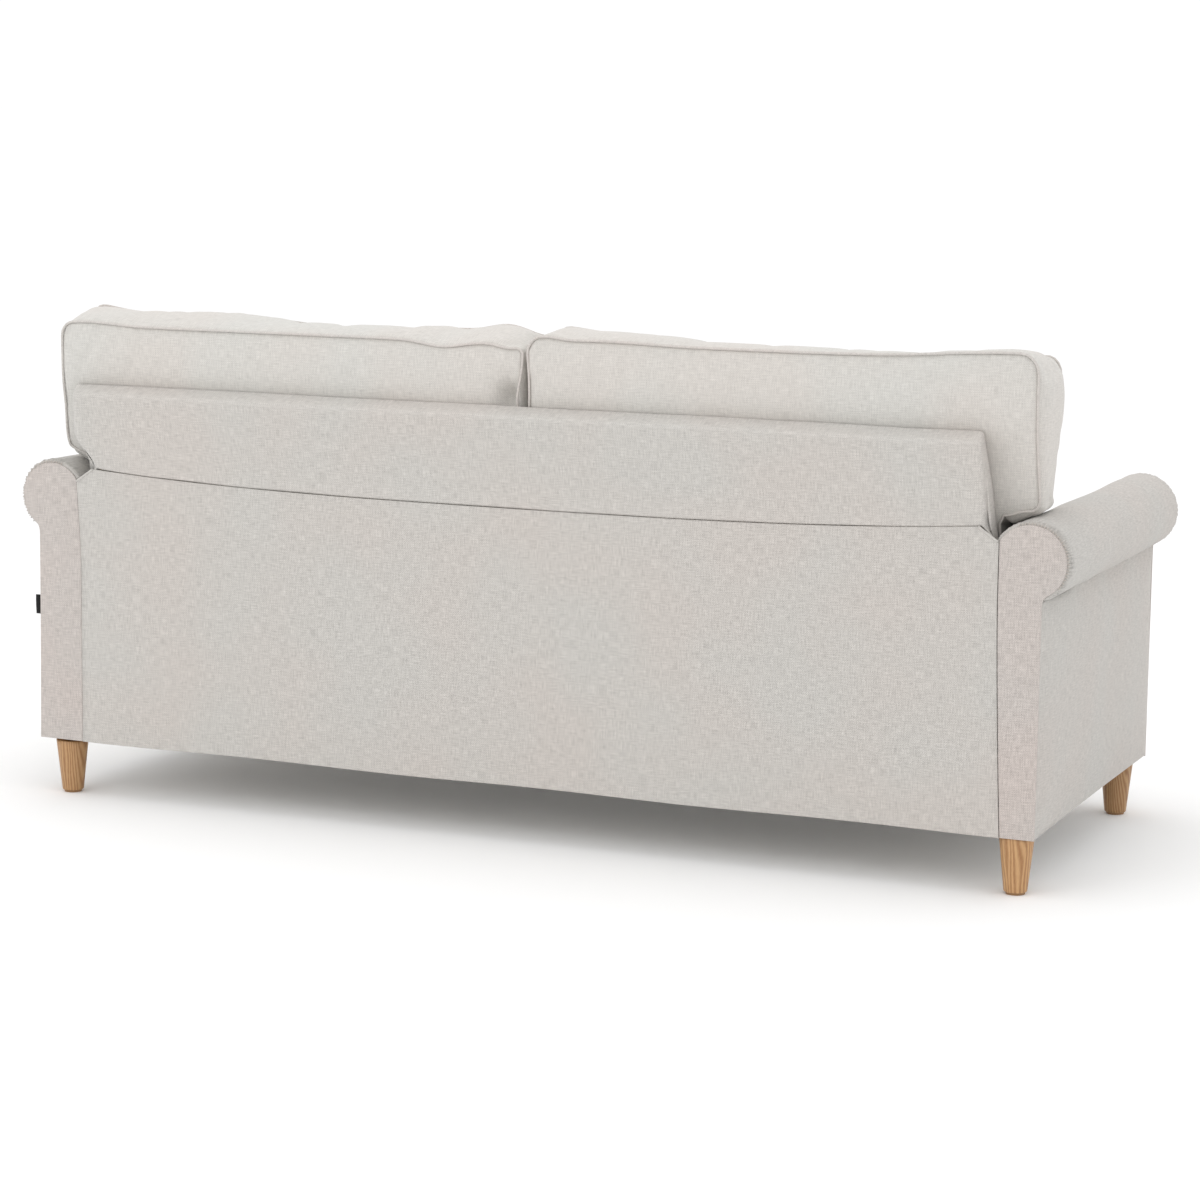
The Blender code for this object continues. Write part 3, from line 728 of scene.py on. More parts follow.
def make_arm_roll(side, sign):
    """The scrolled arm: cloth gathered at both ends, and the flat inside face below it."""
    outer_angles = np.linspace(JOIN, math.pi, 190)
    inner_angles = outer_angles[::-7]
    stem = np.linspace(ROLL_Z, DECK_Z + 0.001, 14)[1:]
    turns = np.linspace(0, math.pi / 2, 6)
    bends = [(ROLL_BEND * (1 - math.cos(t)), SEAM_INSET * (1 - math.sin(t))) for t in turns]
    middle = np.linspace(ROLL_LOW_Y + ROLL_BEND, ROLL_HIGH_Y - ROLL_BEND, 76)[1:-1]
    sections = [(ROLL_LOW_Y + run, shrink) for run, shrink in bends]
    sections += [(y, 0.0) for y in middle]
    sections += [(ROLL_HIGH_Y - run, shrink) for run, shrink in reversed(bends)]
    rings, lay = [], []
    for y, shrink in sections:
        ring = [on_roll(angle, roll_radius(angle, y, shrink)) for angle in outer_angles]
        lay += [(y, ROLL_RADIUS * angle) for angle in outer_angles]
        ring += [(ARM_INNER_X + shrink * 0.6, z) for z in stem]
        lay += [(y, ROLL_RADIUS * math.pi + ROLL_Z - z) for z in stem]
        ring += [(ARM_INNER_X + ROLL_PAD, z) for z in stem[::-1]]
        lay += [(y, z) for z in stem[::-1]]
        ring += [on_roll(angle, ROLL_RADIUS - ROLL_PAD) for angle in inner_angles]
        lay += [(y, angle * (ROLL_RADIUS - ROLL_PAD)) for angle in inner_angles]
        rings.append([(sign * x, y, z) for x, z in ring])
    roll = loft("arm_roll_" + side, rings)
    lay_cloth(roll, lay)
    upholster(roll, LINEN_ARM_PAINTED_SHADE)


def keyhole(sign, inner_edge, foot):
    """The scroll of a facing: part of the roll's circle above a stem. It runs anticlockwise.

    inner_edge is the stem's other side, from the circle down to the foot.
    """
    outer = -math.acos((ARM_OUTER_X - ROLL_X) / SEAM_RADIUS)
    inner = math.acos(np.clip((inner_edge[0][0] - ROLL_X) / SEAM_RADIUS, -1, 1))
    circle = arc((ROLL_X, ROLL_Z), SEAM_RADIUS, outer + NECK_TURN, inner, 48)
    neck_z = on_roll(outer, SEAM_RADIUS)[1]
    neck = Vector((arm_outer_x(sign, neck_z), neck_z))
    below, above = neck - Vector((0, NECK_DROP)), Vector(circle[0])
    fillet = [below.lerp(neck, t).lerp(neck.lerp(above, t), t) for t in np.linspace(0, 0.9, 7)]
    stem = [(arm_outer_x(sign, z), z) for z in np.linspace(foot, below.y, 10)[:-1]]
    return stem + [tuple(point) for point in fillet] + circle + inner_edge


def make_facing(name, side, sign, inner_edge, face_y, towards, crown, depth):
    """The keyhole panel at one end of an arm. towards is 1 for the rear and -1 for the front."""
    outline = keyhole(sign, inner_edge, hem_z(sign * ROLL_X, face_y))
    if sign < 0:
        outline = [(-x, z) for x, z in reversed(outline)]

    def relief(x, z, far):
        angle = math.atan2(z - ROLL_Z, x - sign * ROLL_X)
        scroll = 1 / (1 + math.exp(-(z - ROLL_Z + 0.03) / 0.01))
        pucker = 0.0006 * math.sin(30 * angle) * math.exp(-far / 0.010) * scroll
        return pucker + lumps(x, face_y, z, 0.08, 0.0016) * inland(far, 0.02)

    upholster(pad(name + side, outline, lambda x, z, out: (x, face_y + towards * out, z),
                  relief, depth, rim=0.0010, crown=crown, spacing=0.007), LINEN_FACING)


def make_side_panel(side, sign):
    """The outside of an arm: softly crowned, and pinched where it meets the roll's two ends."""
    foot = [(y, hem_z(sign * ARM_OUTER_X, y)) for y in np.linspace(ROLL_LOW_Y, ROLL_HIGH_Y, 25)]
    top = CREASE_Z - 0.001
    outline = foot + [(ROLL_HIGH_Y, top), (ROLL_LOW_Y, top)]

    def relief(y, z, far):
        ends = min(y - ROLL_LOW_Y, ROLL_HIGH_Y - y)
        below = CREASE_Z - z
        tuck = -0.0035 * math.exp(-((ends - 0.020 - 0.5 * below) / 0.010) ** 2)
        tuck *= math.exp(-below / 0.03)
        drag = 0.0010 * math.sin(60 * (ends + 0.8 * below)) * math.exp(-(ends + below) / 0.07)
        return (tuck + drag) * min(1.0, far / 0.006) + lumps(sign, y, z, 0.16, 0.0030)

    def place(y, z, out):
        return (sign * (arm_outer_x(sign, z) + out), y, z)

    upholster(pad("arm_outside_" + side, outline, place, relief, depth=0.0050, rim=0.004,
                  crown=0.0095, spacing=0.009), LINEN_ARM_PAINTED_SHADE)


STITCH_LENGTH, STITCH_PITCH = 0.0056, 0.0052
STITCH_RADIUS = 0.0008
STITCH_SLANT = 0.30  # every other stitch slants the other way
STITCH_START, STITCH_END = math.radians(-38), math.radians(108)
STITCH_RINGS, STITCH_SIDES = 7, 6


def stitch(angle, slant):
    """The points of one stitch: a short bead over the seam, at an angle round the roll."""
    out = Vector((math.cos(angle), 0.35, math.sin(angle))).normalized()
    along = Vector((-math.sin(angle), 0, math.cos(angle)))
    run = Vector((math.cos(angle), -0.7, math.sin(angle))).normalized() + along * slant
    run.normalize()
    across = run.cross(out).normalized()
    x, z = on_roll(angle, SEAM_RADIUS + 0.0014)
    middle = Vector((x, REAR_Y - 0.0022, z))
    points = []
    for share in np.linspace(-1, 1, STITCH_RINGS):
        swell = STITCH_RADIUS * math.sqrt(max(0.02, 1 - share ** 2)) + 0.0001
        lift = 0.0006 * (1 - share ** 2)
        base = middle + run * STITCH_LENGTH / 2 * share + out * lift
        for step in range(STITCH_SIDES):
            turn = step * 2 * math.pi / STITCH_SIDES
            points.append(base + (across * math.cos(turn) + out * math.sin(turn)) * swell)
    return points


def make_stitches(side, sign):
    """Short slanted stitches that catch the gathered end of the roll to its rear facing."""
    count = int((STITCH_END - STITCH_START) * SEAM_RADIUS / STITCH_PITCH)
    points, faces = [], []
    for number in range(count + 1):
        angle = STITCH_START + (STITCH_END - STITCH_START) * number / count
        first = len(points)
        points += [(sign * spot.x, spot.y, spot.z)
                   for spot in stitch(angle, STITCH_SLANT if number % 2 else -STITCH_SLANT)]
        last = len(points) - STITCH_SIDES
        for low in range(first, last, STITCH_SIDES):
            faces += band(low, low + STITCH_SIDES, STITCH_SIDES)
        faces += [tuple(range(end, end + STITCH_SIDES)) for end in (first, last)]
    finish_piece(make_mesh("facing_stitches_" + side, points, faces), THREAD_COTTON)


def make_arms():
    """Both arms: a roll, an outside panel, a facing at each end and the rear one's stitches."""
    for side, sign in SIDES:
        make_stitches(side, sign)
        make_arm_roll(side, sign)
        make_side_panel(side, sign)
        heights = np.linspace(CORNER[1] - 0.006, hem_z(sign * SEAM_X, REAR_Y), 20)
        rear_edge = [(abs(seam_x(sign, z)) + SEAM_GAP, z) for z in heights]
        front_edge = [(ARM_INNER_X, hem_z(sign * ARM_INNER_X, FRONT_Y))]
        make_facing("rear_facing_", side, sign, rear_edge, REAR_Y - 0.0002, 1,
                    crown=0.0055, depth=0.0034)
        make_facing("front_facing_", side, sign, front_edge, FRONT_Y + 0.0015, -1,
                    crown=0.0050, depth=0.0038)


# ---- front, deck, underside, tag

APRON_Y = FRONT_Y + 0.008  # the face between the arms, a little behind theirs


def make_front():
    """The flat cloth between the arms, under the seat cushions."""
    half = ARM_INNER_X - 0.0008
    top = DECK_Z - 0.0015
    foot = [(x, hem_z(x, FRONT_Y)) for x in np.linspace(-half, half, 49)]
    outline = foot + [(half, top), (-half, top)]

    def relief(x, z, far):
        return lumps(x, 3, z, 0.2, 0.0018) * inland(far, 0.04)

    upholster(pad("front_cover", outline, lambda x, z, out: (x, APRON_Y - out, z), relief,
                  depth=0.0065, rim=0.004, crown=0.002, spacing=0.010))


def make_deck():
    """The padded cloth over the springs, which the seat cushions lie on."""
    low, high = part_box("seat_deck")

    def relief(x, y, far):
        return lumps(x, y, 7, 0.25, 0.0012) * inland(far, 0.05) - 0.001

    outline = [(low.x, low.y), (high.x, low.y), (high.x, high.y), (low.x, high.y)]
    upholster(pad("seat_platform", outline, lambda x, y, out: (x, y, DECK_Z - 0.001 + out),
                  relief, depth=0.012, rim=0.004, crown=0.0, spacing=0.02))


DUST_THICK = 0.0006
DUST_SAG = 0.0022  # at its middle
DUST_SPACING = 0.02
NOTCH_GAP = 0.002  # between the cloth and a leg block


def make_dust_cover():
    """Thin pale cloth stapled under the frame, notched round the leg blocks."""
    low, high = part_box("dust_cover")
    block_low, block_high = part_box("leg_block_front_left")
    notch_x = block_low.x - NOTCH_GAP
    front_y = block_high.y + NOTCH_GAP
    rear_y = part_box("leg_block_rear_left")[0].y - NOTCH_GAP
    half = [(notch_x, low.y), (notch_x, front_y), (high.x, front_y), (high.x, rear_y),
            (notch_x, rear_y), (notch_x, high.y)]
    outline = resampled(half + [(-x, y) for x, y in reversed(half)], DUST_SPACING)
    flat_points, net = filled(outline, DUST_SPACING)
    distance = edge_distance(flat_points, outline)[0]
    points = []
    for level in (DUST_THICK, 0.0):
        for (x, y), far in zip(flat_points, distance):
            sag = DUST_SAG * inland(far, 0.12) + lumps(x, y, 1, 0.12, 0.0006)
            points.append((x, y, low.z - max(0.0, sag) + level))
    count = len(flat_points)
    faces = [list(face) for face in net] + [[count + i for i in face][::-1] for face in net]
    faces += band(0, count, len(outline))
    cover = make_mesh("dust_cloth", points, faces)
    lay_cloth(cover)
    finish_piece(cover, DUST_CLOTH)
    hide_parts("dust_cover")


TAG_THICK = 0.0005
TAG_FOLD = 0.0011  # outer radius of the tape's fold
TAG_HELD = 0.001  # how much of it is caught in the seam


def make_tag():
    """A blank black tape, folded in two and caught in the side seam."""
    low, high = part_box("blank_label")
    middle_y = (low.y + high.y) / 2
    length, height = high.x - low.x, high.z - low.z
    start, inner = low.x - TAG_HELD, TAG_FOLD - TAG_THICK
    centre = (high.x - TAG_FOLD, 0)
    quarter = math.pi / 2
    outline = [(start, TAG_FOLD)] + arc(centre, TAG_FOLD, quarter, -quarter, 8)
    outline += [(start, -TAG_FOLD), (start, -inner)]
    outline += arc(centre, inner, -quarter, quarter, 8) + [(start, inner)]
    rings = []
    for z in np.linspace(low.z, high.z, 10):
        lean = 0.0012 * math.sin(2.4 * (z - low.z) / height)
        rings.append([(x, middle_y + y + lean * (x - low.x) / length, z) for x, y in outline])
    tag = loft("blank_tag", rings)
    lay_cloth(tag)
    finish_piece(tag, BLACK_TAPE)
    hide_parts("blank_label")


# ---- legs

LEG_FOOT, LEG_EDGE = 0.020, 0.0025  # radius at the foot, and of its turned edge
LEG_SIDES = 96
OAK_LIGHT, OAK_DARK = (200, 159, 112), (158, 112, 70)
# painted shade: each leg's oak is darkened by the shade it stands in, most for the front legs
# under the body
OAK_PAINTED_SHADE = {"front_left": 0.85, "front_right": 0.75, "rear_left": 0.88, "rear_right": 1.0}


def make_legs():
    """Four turned legs that taper to the foot, each with its own oak grain and its own painted
    shade.
    """
    for number, (name, shade) in enumerate(OAK_PAINTED_SHADE.items()):
        low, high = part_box("leg_" + name)
        top = (high.x - low.x) / 2
        start = low.z + LEG_EDGE
        profile = [(LEG_FOOT - LEG_EDGE, low.z)]
        profile += arc((LEG_FOOT - LEG_EDGE, start), LEG_EDGE, -math.pi / 2, 0, 6)[1:]
        profile += [(LEG_FOOT + (top - LEG_FOOT) * share, start + (high.z - start) * share)
                    for share in np.linspace(0, 1, 14)[1:]]
        profile.append((top - 0.004, high.z))
        turns = [2 * math.pi * side / LEG_SIDES for side in range(LEG_SIDES)]
        leg = loft("turned_leg_" + name,
                   [[(radius * math.cos(turn), radius * math.sin(turn), z) for turn in turns]
                    for radius, z in profile])
        leg.location = ((low.x + high.x) / 2, (low.y + high.y) / 2, 0)
        oak = wooden("oak_" + name, OAK_LIGHT, OAK_DARK, shade=shade,
                     offset=(number * 0.37, number * 0.21, number))
        finish_piece(leg, oak)
        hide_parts("leg_" + name)


# ---- cushions

PIPING_RADIUS = 0.0023
CLOTH_STEP = 0.012
BOX_ROWS = 12  # rows of faces across the boxing
BOXING, NEAR_PANEL, FAR_PANEL = 0, 1, 2  # a cushion's three pieces of cloth
CLOTH_TOO_LARGE = 0.022
AIR_PRESSURE = 4.0
SIM_FRAMES = 20


def bumped(loop, bumps):
    """The loop with soft local shifts. Each bump is (x, z, shift in x, shift in z, reach)."""
    moved = loop.copy()
    for x, z, shift_x, shift_z, reach in bumps:
        near = np.exp(-((loop[:, 0] - x) ** 2 + (loop[:, 1] - z) ** 2) / reach ** 2)
        moved[:, 0] += shift_x * near
        moved[:, 1] += shift_z * near
    return moved


class Cushion:
    """A sewn box: two panels, the boxing between them, and cord piping along both seams.
    """

    def __init__(self, node, loops, surfaces, reach, puff, fill):
        self.node, self.reach, self.puff, self.fill = node, reach, puff, fill
        self.dents = []  # in the near panel: (x, z, depth, reach)
        self.panels, self.shares = [], []  # each point's cloth, and its share across the boxing
        points, faces, starts = [], [], []
        for panel, loop, surface in zip((NEAR_PANEL, FAR_PANEL), loops, surfaces):
            starts.append(len(points))
            net_points, net = filled(loop, CLOTH_STEP)
            faces += [[starts[-1] + corner for corner in face] for face in net]
            points += [surface(*point) for point in net_points]
            self.panels += [panel] * len(net_points)
            self.shares += [0.0] * len(net_points)
        count = len(loops[0])
        self.pinned = [start + i for start in starts for i in range(count)]
        near, far = [np.array(points[start:start + count]) for start in starts]
        self.seams = [near, far]
        previous = starts[0]
        for row in range(1, BOX_ROWS):
            faces += band(previous, len(points), count)
            previous = len(points)
            points += [tuple(p) for p in near + (far - near) * row / BOX_ROWS]
            self.panels += [BOXING] * count
            self.shares += [row / BOX_ROWS] * count
        faces += band(previous, starts[1], count)
        self.obj = make_mesh("stuffed_" + node, points, faces)
        self.base = np.array([v.co for v in self.obj.data.vertices])
        self.normals = np.array([v.normal for v in self.obj.data.vertices])

    def seam_distance(self):
        """How far each point is from the nearest seam."""
        tree = KDTree(len(self.pinned))
        for index, vertex in enumerate(self.pinned):
            tree.insert(self.base[vertex], index)
        tree.balance()
        return np.array([tree.find(point)[2] for point in self.base])

    def stuff(self):
        """Start the cloth simulation: seams held, cloth a little too large, air inside."""
        group = self.obj.vertex_groups.new(name="seams")
        group.add(self.pinned, 1.0, "REPLACE")
        cloth = self.obj.modifiers.new("cloth", "CLOTH")
        settings = cloth.settings
        settings.quality = 6
        settings.mass = 0.25
        settings.tension_stiffness = 18
        settings.compression_stiffness = 18
        settings.shear_stiffness = 6
        settings.bending_stiffness = 0.6
        settings.air_damping = 2
        settings.vertex_group_mass = "seams"
        settings.shrink_min = -CLOTH_TOO_LARGE
        settings.use_pressure = True
        settings.uniform_pressure_force = AIR_PRESSURE
        settings.effector_weights.gravity = 0
        cloth.collision_settings.use_collision = False

    def settle(self):
        """End the simulation: how far it moved each point."""
        shown = self.obj.evaluated_get(bpy.context.evaluated_depsgraph_get())
        made = np.array([v.co for v in shown.data.vertices])
        self.obj.modifiers.clear()
        return made - self.base

    def swell(self):
        """The same without a simulation: a smooth crown over each side."""
        far = self.seam_distance()
        return self.normals * (0.03 * (1 - np.exp(-far / 0.07)))[:, None]

    def shape(self, shift):
        """Move the points, held back where the cushion is pressed on something."""
        out = np.sum(shift * self.normals, axis=1)
        along = shift - out[:, None] * self.normals
        limit = np.array([self.reach(panel, *point)
                          for panel, point in zip(self.panels, self.base)])
        out += np.array([self.puff(panel, *point) * math.sqrt(math.sin(math.pi * share))
                         for panel, point, share in zip(self.panels, self.base, self.shares)])
        out = limit * np.tanh(out / limit)
        for x, z, depth, reach in self.dents:
            near = (self.base[:, 0] - x) ** 2 + (self.base[:, 2] - z) ** 2
            out -= depth * np.exp(-near / reach ** 2) * (np.array(self.panels) == NEAR_PANEL)
        moved = self.base + self.normals * out[:, None] + along * 0.8
        pinned = set(self.pinned)
        for vertex in self.obj.data.vertices:
            if vertex.index not in pinned:
                vertex.co = moved[vertex.index]
        self.obj.data.update()

    def finish(self):
        """Smooth the mesh, dress it and sew the cords into its two seams."""
        smooth = self.obj.modifiers.new("smooth", "SUBSURF")
        smooth.levels = 1
        smooth.render_levels = 1
        apply_modifiers(self.obj)
        upholster(self.obj, LINEN_CUSHION_PAINTED_LIGHT, self.fill, self.node)
        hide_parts(self.node)
        for label, seam, other in zip(("a", "b"), self.seams, self.seams[::-1]):
            outward = seam - other
            outward /= np.linalg.norm(outward, axis=1)[:, None]
            path = seam + outward * PIPING_RADIUS * 0.35
            cord = tube(f"{self.node}_piping_{label}", path, PIPING_RADIUS)
            upholster(cord, PIPING, 1.0, self.node)


def apply_modifiers(obj):
    """Make the shown shape the object's own mesh."""
    shown = obj.evaluated_get(bpy.context.evaluated_depsgraph_get())
    mesh = bpy.data.meshes.new_from_object(shown)
    obj.modifiers.clear()
    obj.data = mesh
    mesh.shade_smooth()


BACK_THICK = 0.160
BACK_PIPE_Y = 0.352  # rear seam at the top of a back cushion
EAR_NECK_Z = 0.585  # where an ear starts, beside the arm's roll
EAR_CLEAR = 0.004  # its sewn underside follows the roll at this distance
CUSHION_TOP_Z = 0.890
BETWEEN_X = -0.0175  # where the two back cushions meet
FOOT_CORNER, SEAT_CORNER = 0.020, 0.030
SIDE_BAND = 0.03  # a point this near to a side or the foot belongs to it
FRONT_CROWN = 0.030  # the most that a back cushion's front swells
PRESSED = 0.0015  # how far cloth swells where it is pressed on something
ROLL_SKIN = 0.0010  # kept free over the roll


def cushion_rear_y(z):
    """The rear of a back cushion: along the back, then nearly upright above it."""
    soft = 0.003
    leaning = back_front_y(z) - 0.003
    upright = BACK_PIPE_Y - 0.015 * (CUSHION_TOP_Z - z)
    return -soft * math.log(math.exp(-leaning / soft) + math.exp(-upright / soft))


def back_cushion(side, sign, inner_x, outer_x, top_z, turns, rear_bumps, front_bumps):
    """A back cushion, upright beside its neighbour, whose ear reaches over the arm's roll.

    turns are the radii at the ear's outer corner and at the two top corners.
    """
    foot = SEAT_TOP_Z + 0.002
    arm_x = ARM_INNER_X - 0.003
    ear_z = ROLL_Z + ROLL_RADIUS + 0.010
    under = [(sign * x, z) for x, z in arc((ROLL_X, ROLL_Z), ROLL_RADIUS + EAR_CLEAR,
                                           math.radians(160), math.radians(112), 5)]
    corners = [(inner_x, foot), (arm_x * sign, foot), (arm_x * sign, EAR_NECK_Z), *under,
               (outer_x, ear_z), (outer_x, top_z), (inner_x, top_z)]
    radii = [FOOT_CORNER, FOOT_CORNER, 0, *([0] * len(under)), *turns]
    if sign < 0:
        corners, radii = corners[::-1], radii[::-1]
    outline = resampled(rounded(corners, radii), CLOTH_STEP)
    loops = [bumped(outline, rear_bumps), bumped(outline, front_bumps)]
    surfaces = [lambda x, z: (x, cushion_rear_y(z), z),
                lambda x, z: (x, cushion_rear_y(z) - BACK_THICK, z)]

    def beside(x, z):
        """Whether a place is on the upright side that presses on the other cushion."""
        return abs(x - inner_x) < SIDE_BAND and foot + SIDE_BAND < z < top_z - SIDE_BAND

    def reach(panel, x, y, z):
        """How far a point may swell before it is pressed on something."""
        if panel == FAR_PANEL:
            return FRONT_CROWN
        if panel == NEAR_PANEL:
            return PRESSED + 0.013 / (1 + math.exp(-(z - TOP_Z - 0.020) / 0.012))
        if beside(x, z):
            return min(0.010, max(0.0012, abs(x - BETWEEN_X) - 0.0006))
        if abs(x - inner_x) < SIDE_BAND or z < foot + SIDE_BAND:
            return PRESSED
        if z < ear_z + 0.01:
            rise = ROLL_RADIUS ** 2 - (abs(x) - ROLL_X) ** 2
            roll = ROLL_Z + math.sqrt(max(0.0, rise)) if abs(x) > arm_x + 0.01 else z
            return min(0.015, max(0.0012, z - roll - ROLL_SKIN))
        return 0.013 if z > CUSHION_TOP_Z - 0.03 else 0.016

    def puff(panel, x, y, z):
        """The boxing stands out between its seams, and under an ear it sags onto the roll."""
        if panel != BOXING or z < foot + SIDE_BAND:
            return 0.0
        if abs(x - inner_x) < SIDE_BAND:
            return 0.010 if beside(x, z) else 0.0
        if z < ear_z + 0.01:
            return 0.035 if abs(x) > arm_x + 0.005 else 0.0
        return 0.012 if z < CUSHION_TOP_Z - 0.03 else 0.003

    return Cushion("back_cushion_" + side, loops, surfaces, reach, puff, 0.8)


def seat_cushion(side, sign):
    """A seat cushion: flat where it lies on the deck, and fullest in front of the back."""
    top, foot = SEAT_TOP_Z - 0.010, DECK_Z + 0.009
    low_x, high_x = SEAT_LOW.x + 0.001, SEAT_HIGH.x - 0.002
    low_y, high_y = SEAT_LOW.y + 0.006, SEAT_HIGH.y - 0.002
    corners = [(low_x, low_y), (high_x, low_y), (high_x, high_y), (low_x, high_y)]
    if sign < 0:
        corners = [(-x, y) for x, y in corners[::-1]]
    outline = resampled(rounded(corners, [SEAT_CORNER] * 4), CLOTH_STEP)
    waves = [(sign * 0.2, low_y, 0, -0.002, 0.12), (sign * 0.62, low_y, 0, 0.002, 0.12)]
    loops = [bumped(outline, waves), outline]
    surfaces = [lambda x, y: (x, y, top), lambda x, y: (x, y, foot)]
    back_foot_y = cushion_rear_y(SEAT_TOP_Z) - BACK_THICK

    def reach(panel, x, y, z):
        if panel == NEAR_PANEL:
            return 0.008 + 0.020 / (1 + math.exp((y - back_foot_y + 0.07) / 0.02))
        if panel == FAR_PANEL:
            return 0.007
        return 0.012 if y < low_y + SIDE_BAND else PRESSED

    def puff(panel, x, y, z):
        return 0.004 if panel == BOXING and y < low_y + SIDE_BAND else 0.0

    return Cushion("seat_cushion_" + side, loops, surfaces, reach, puff, 0.85)


# The pulls in the back cushions' seams, as bumped() takes them.
LEFT_REAR = [(0.86, 0.88, 0, 0.006, 0.07), (0.14, 0.88, 0, -0.010, 0.05),
             (0.01, 0.88, 0, -0.008, 0.03), (0.92, 0.67, 0.008, 0, 0.05),
             (-0.0145, 0.78, 0.011, 0, 0.045), (0.868, 0.590, 0, 0.034, 0.025),
             (0.900, 0.632, 0, 0.017, 0.028)]
LEFT_FRONT = [(0.935, 0.89, 0.034, 0.024, 0.07), (0.72, 0.88, 0, 0.015, 0.20),
              (0.60, 0.88, 0, 0.005, 0.10), (0.085, 0.88, 0, 0.018, 0.055),
              (0.19, 0.88, 0, 0.005, 0.06), (0.26, 0.88, 0, 0.004, 0.12),
              (-0.0145, 0.88, 0.012, 0, 0.05), (0.92, 0.65, -0.012, 0, 0.10)]
RIGHT_REAR = [(-0.90, 0.89, 0, 0.014, 0.18), (-0.055, 0.89, 0, 0.007, 0.035),
              (-0.17, 0.89, 0, 0.004, 0.10), (-0.02, 0.80, -0.0065, 0, 0.07),
              (-0.868, 0.590, 0, 0.033, 0.025), (-0.89, 0.632, 0, 0.011, 0.028)]
RIGHT_FRONT = [(-0.76, 0.89, 0, -0.018, 0.30), (-0.72, 0.89, 0, -0.005, 0.08),
               (-0.41, 0.89, 0, -0.009, 0.12), (-0.62, 0.89, 0, -0.005, 0.12),
               (-0.75, 0.89, 0, -0.006, 0.07), (-0.93, 0.89, 0.002, 0.014, 0.07),
               (-0.03, 0.89, 0.012, 0.008, 0.045), (-0.07, 0.89, 0, 0.006, 0.07),
               (-0.32, 0.89, 0, -0.004, 0.07), (-0.93, 0.655, 0.030, 0, 0.115),
               (-0.93, 0.86, 0.003, 0, 0.05)]


def make_cushions():
    """The two back and two seat cushions, all filled in one simulation."""
    left = back_cushion("left", 1, inner_x=-0.0145, outer_x=0.917, top_z=0.881,
                        turns=(0.020, 0.024, 0.016), rear_bumps=LEFT_REAR,
                        front_bumps=LEFT_FRONT)
    right = back_cushion("right", -1, inner_x=-0.0205, outer_x=-0.933, top_z=0.888,
                         turns=(0.027, 0.032, 0.026), rear_bumps=RIGHT_REAR,
                         front_bumps=RIGHT_FRONT)
    left.dents = [(0.004, 0.786, 0.042, 0.027)]
    right.dents = [(-0.865, 0.700, 0.004, 0.040)]
    cushions = [left, right] + [seat_cushion(side, sign) for side, sign in SIDES]
    for cushion in cushions:
        cushion.stuff()
    for moment in range(1, SIM_FRAMES + 1):
        bpy.context.scene.frame_set(moment)
    shifts = [cushion.settle() for cushion in cushions]
    bpy.context.scene.frame_set(1)
    for cushion, shift in zip(cushions, shifts):
        cushion.shape(shift)
        cushion.finish()


# ---- inner frame

def finish_inner_frame():
    """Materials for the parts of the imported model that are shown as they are."""
    starts = {STEEL: ("leg_bolt",), PLASTIC: ("leg_glide",), PLYWOOD: ("scroll_board",),
              ELASTIC: ("back_webbing",), SPRING_STEEL: ("seat_spring",),
              TIMBER: ("leg_block", "seat_rail", "seat_stretcher", "arm_top_rail", "back_post",
                       "back_top_rail", "back_tack_rail")}
    for name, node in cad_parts.items():
        for material, names in starts.items():
            if name.startswith(names):
                node.data.materials.clear()
                node.data.materials.append(material)


def replace_covers():
    """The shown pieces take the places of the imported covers."""
    stands_for = {"outside_back_cover": "back_panel_lower",
                  "upper_back_cover": "back_cover_upper",
                  "front_cover": "front_apron",
                  "seat_platform": "seat_deck"}
    for side, _ in SIDES:
        stands_for["arm_roll_" + side] = "arm_pad_" + side
        stands_for["arm_outside_" + side] = "arm_side_panel_" + side
        stands_for["rear_facing_" + side] = "arm_rear_facing_" + side
        stands_for["front_facing_" + side] = "arm_front_facing_" + side
    for piece, node in stands_for.items():
        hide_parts(node)


# ---- floor, light and camera

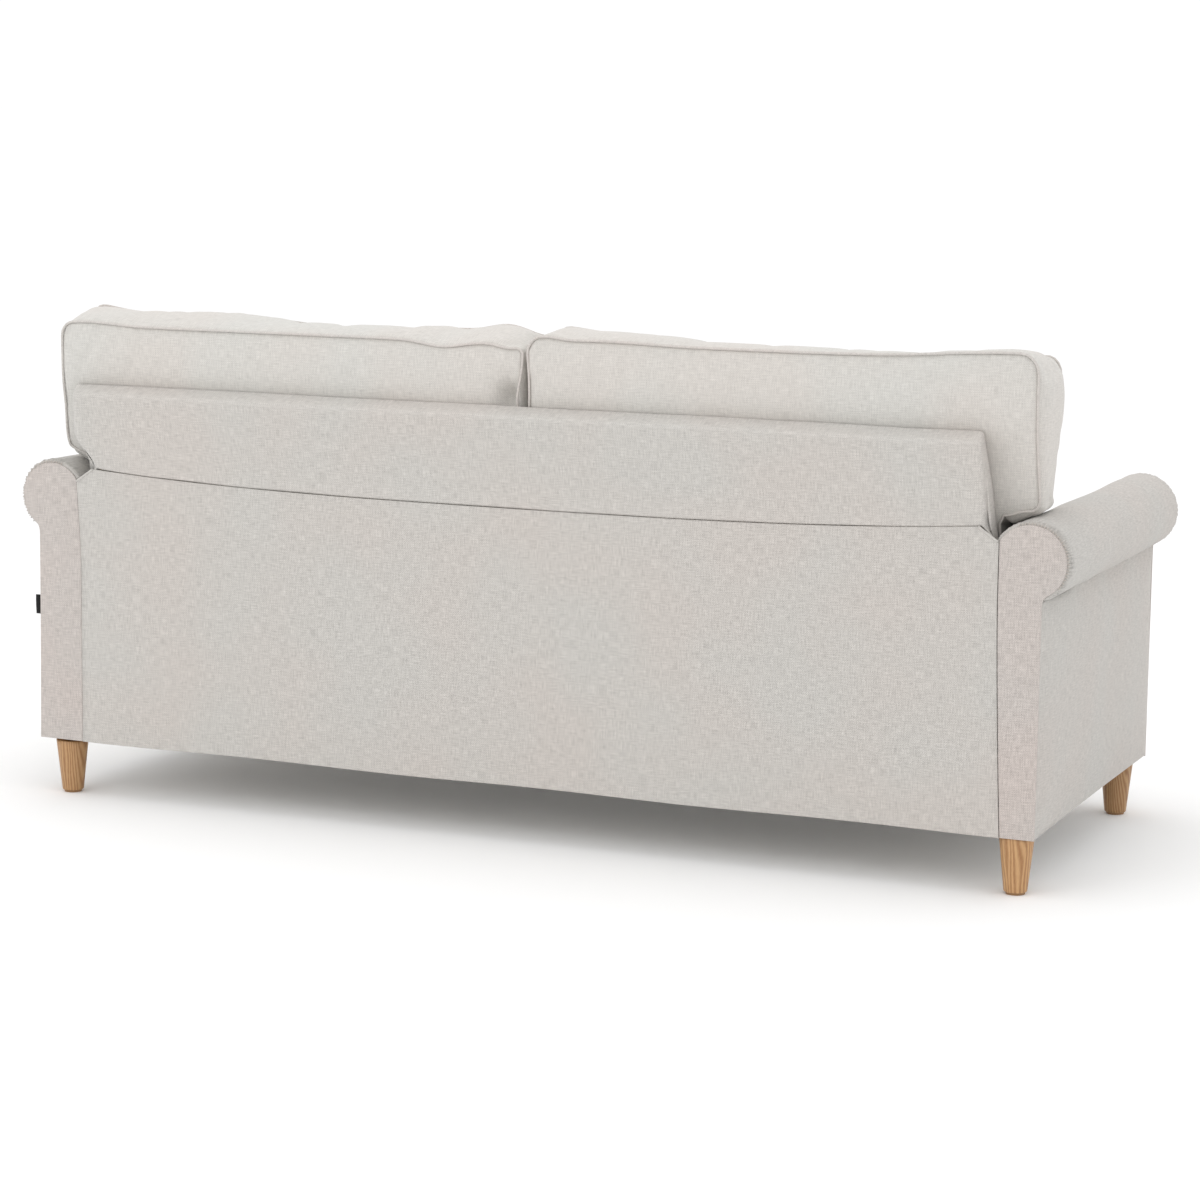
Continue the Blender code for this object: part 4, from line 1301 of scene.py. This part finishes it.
def make_floor():
    """A plain pale floor that reaches past the picture on every side."""
    bpy.ops.mesh.primitive_plane_add(size=240)
    floor = bpy.context.object
    floor.name = "floor"
    m = Nodes("pale_floor")
    patches = m.noise(m.add("TexCoord").outputs["Object"], 3.0)
    white = linear(251, 251, 251)
    colour = m.ramp(patches, [(0.3, [v * 0.995 for v in white]), (0.7, white)])
    m.surface({"Base Color": colour, "Roughness": 0.9, "Specular IOR Level": 0.1})
    floor.data.materials.append(m.material)


def make_light(name, location, size, power):
    """A round soft light, turned to the middle of the sofa."""
    data = bpy.data.lights.new(name, "AREA")
    data.shape = "DISK"
    data.size = size
    data.energy = power
    lamp = add_object(name, data)
    lamp.location = location
    towards = Vector((0, 0, 0.5)) - Vector(location)
    lamp.rotation_euler = towards.to_track_quat("-Z", "Y").to_euler()


def light_scene():
    """An even white studio, with a soft key light behind the sofa and one above it."""
    world = bpy.data.worlds.new("studio")
    bpy.context.scene.world = world
    world.use_nodes = True
    background = world.node_tree.nodes["Background"]
    background.inputs["Color"].default_value = (1, 1, 1, 1)
    background.inputs["Strength"].default_value = 1.06
    make_light("key", (2.5, 5.5, 4.2), size=3.0, power=40)
    make_light("top", (0.0, 0.0, 5.0), size=4.0, power=28)
    bpy.context.scene.view_settings.view_transform = "Standard"


CAMERA_PLACE = (-2.3408, 5.4919, 1.3301)
FOCAL_LENGTH, SENSOR_WIDTH = 97.85, 36
YAW, PITCH, ROLL = [math.radians(angle) for angle in (23.115, 8.778, 0.583)]


def place_camera():
    """Behind the sofa, a little above its back, and aimed across it towards the sitter's left."""
    forward = Vector((math.sin(YAW) * math.cos(PITCH), -math.cos(YAW) * math.cos(PITCH),
                      -math.sin(PITCH)))
    level = forward.cross(Vector((0, 0, 1))).normalized()
    upright = level.cross(forward)
    right = level * math.cos(ROLL) + upright * math.sin(ROLL)
    up = upright * math.cos(ROLL) - level * math.sin(ROLL)
    data = bpy.data.cameras.new("camera")
    data.lens = FOCAL_LENGTH
    data.sensor_width = SENSOR_WIDTH
    data.shift_x, data.shift_y = 0.0076, -0.0118
    camera = add_object("camera", data)
    turned = Matrix((right, up, -forward)).transposed().to_4x4()
    camera.matrix_world = Matrix.Translation(CAMERA_PLACE) @ turned
    bpy.context.scene.camera = camera


make_outside_back()
make_upper_back()
make_arms()
make_front()
make_deck()
make_dust_cover()
make_tag()
make_legs()
make_cushions()
finish_inner_frame()
replace_covers()
make_floor()
light_scene()
place_camera()
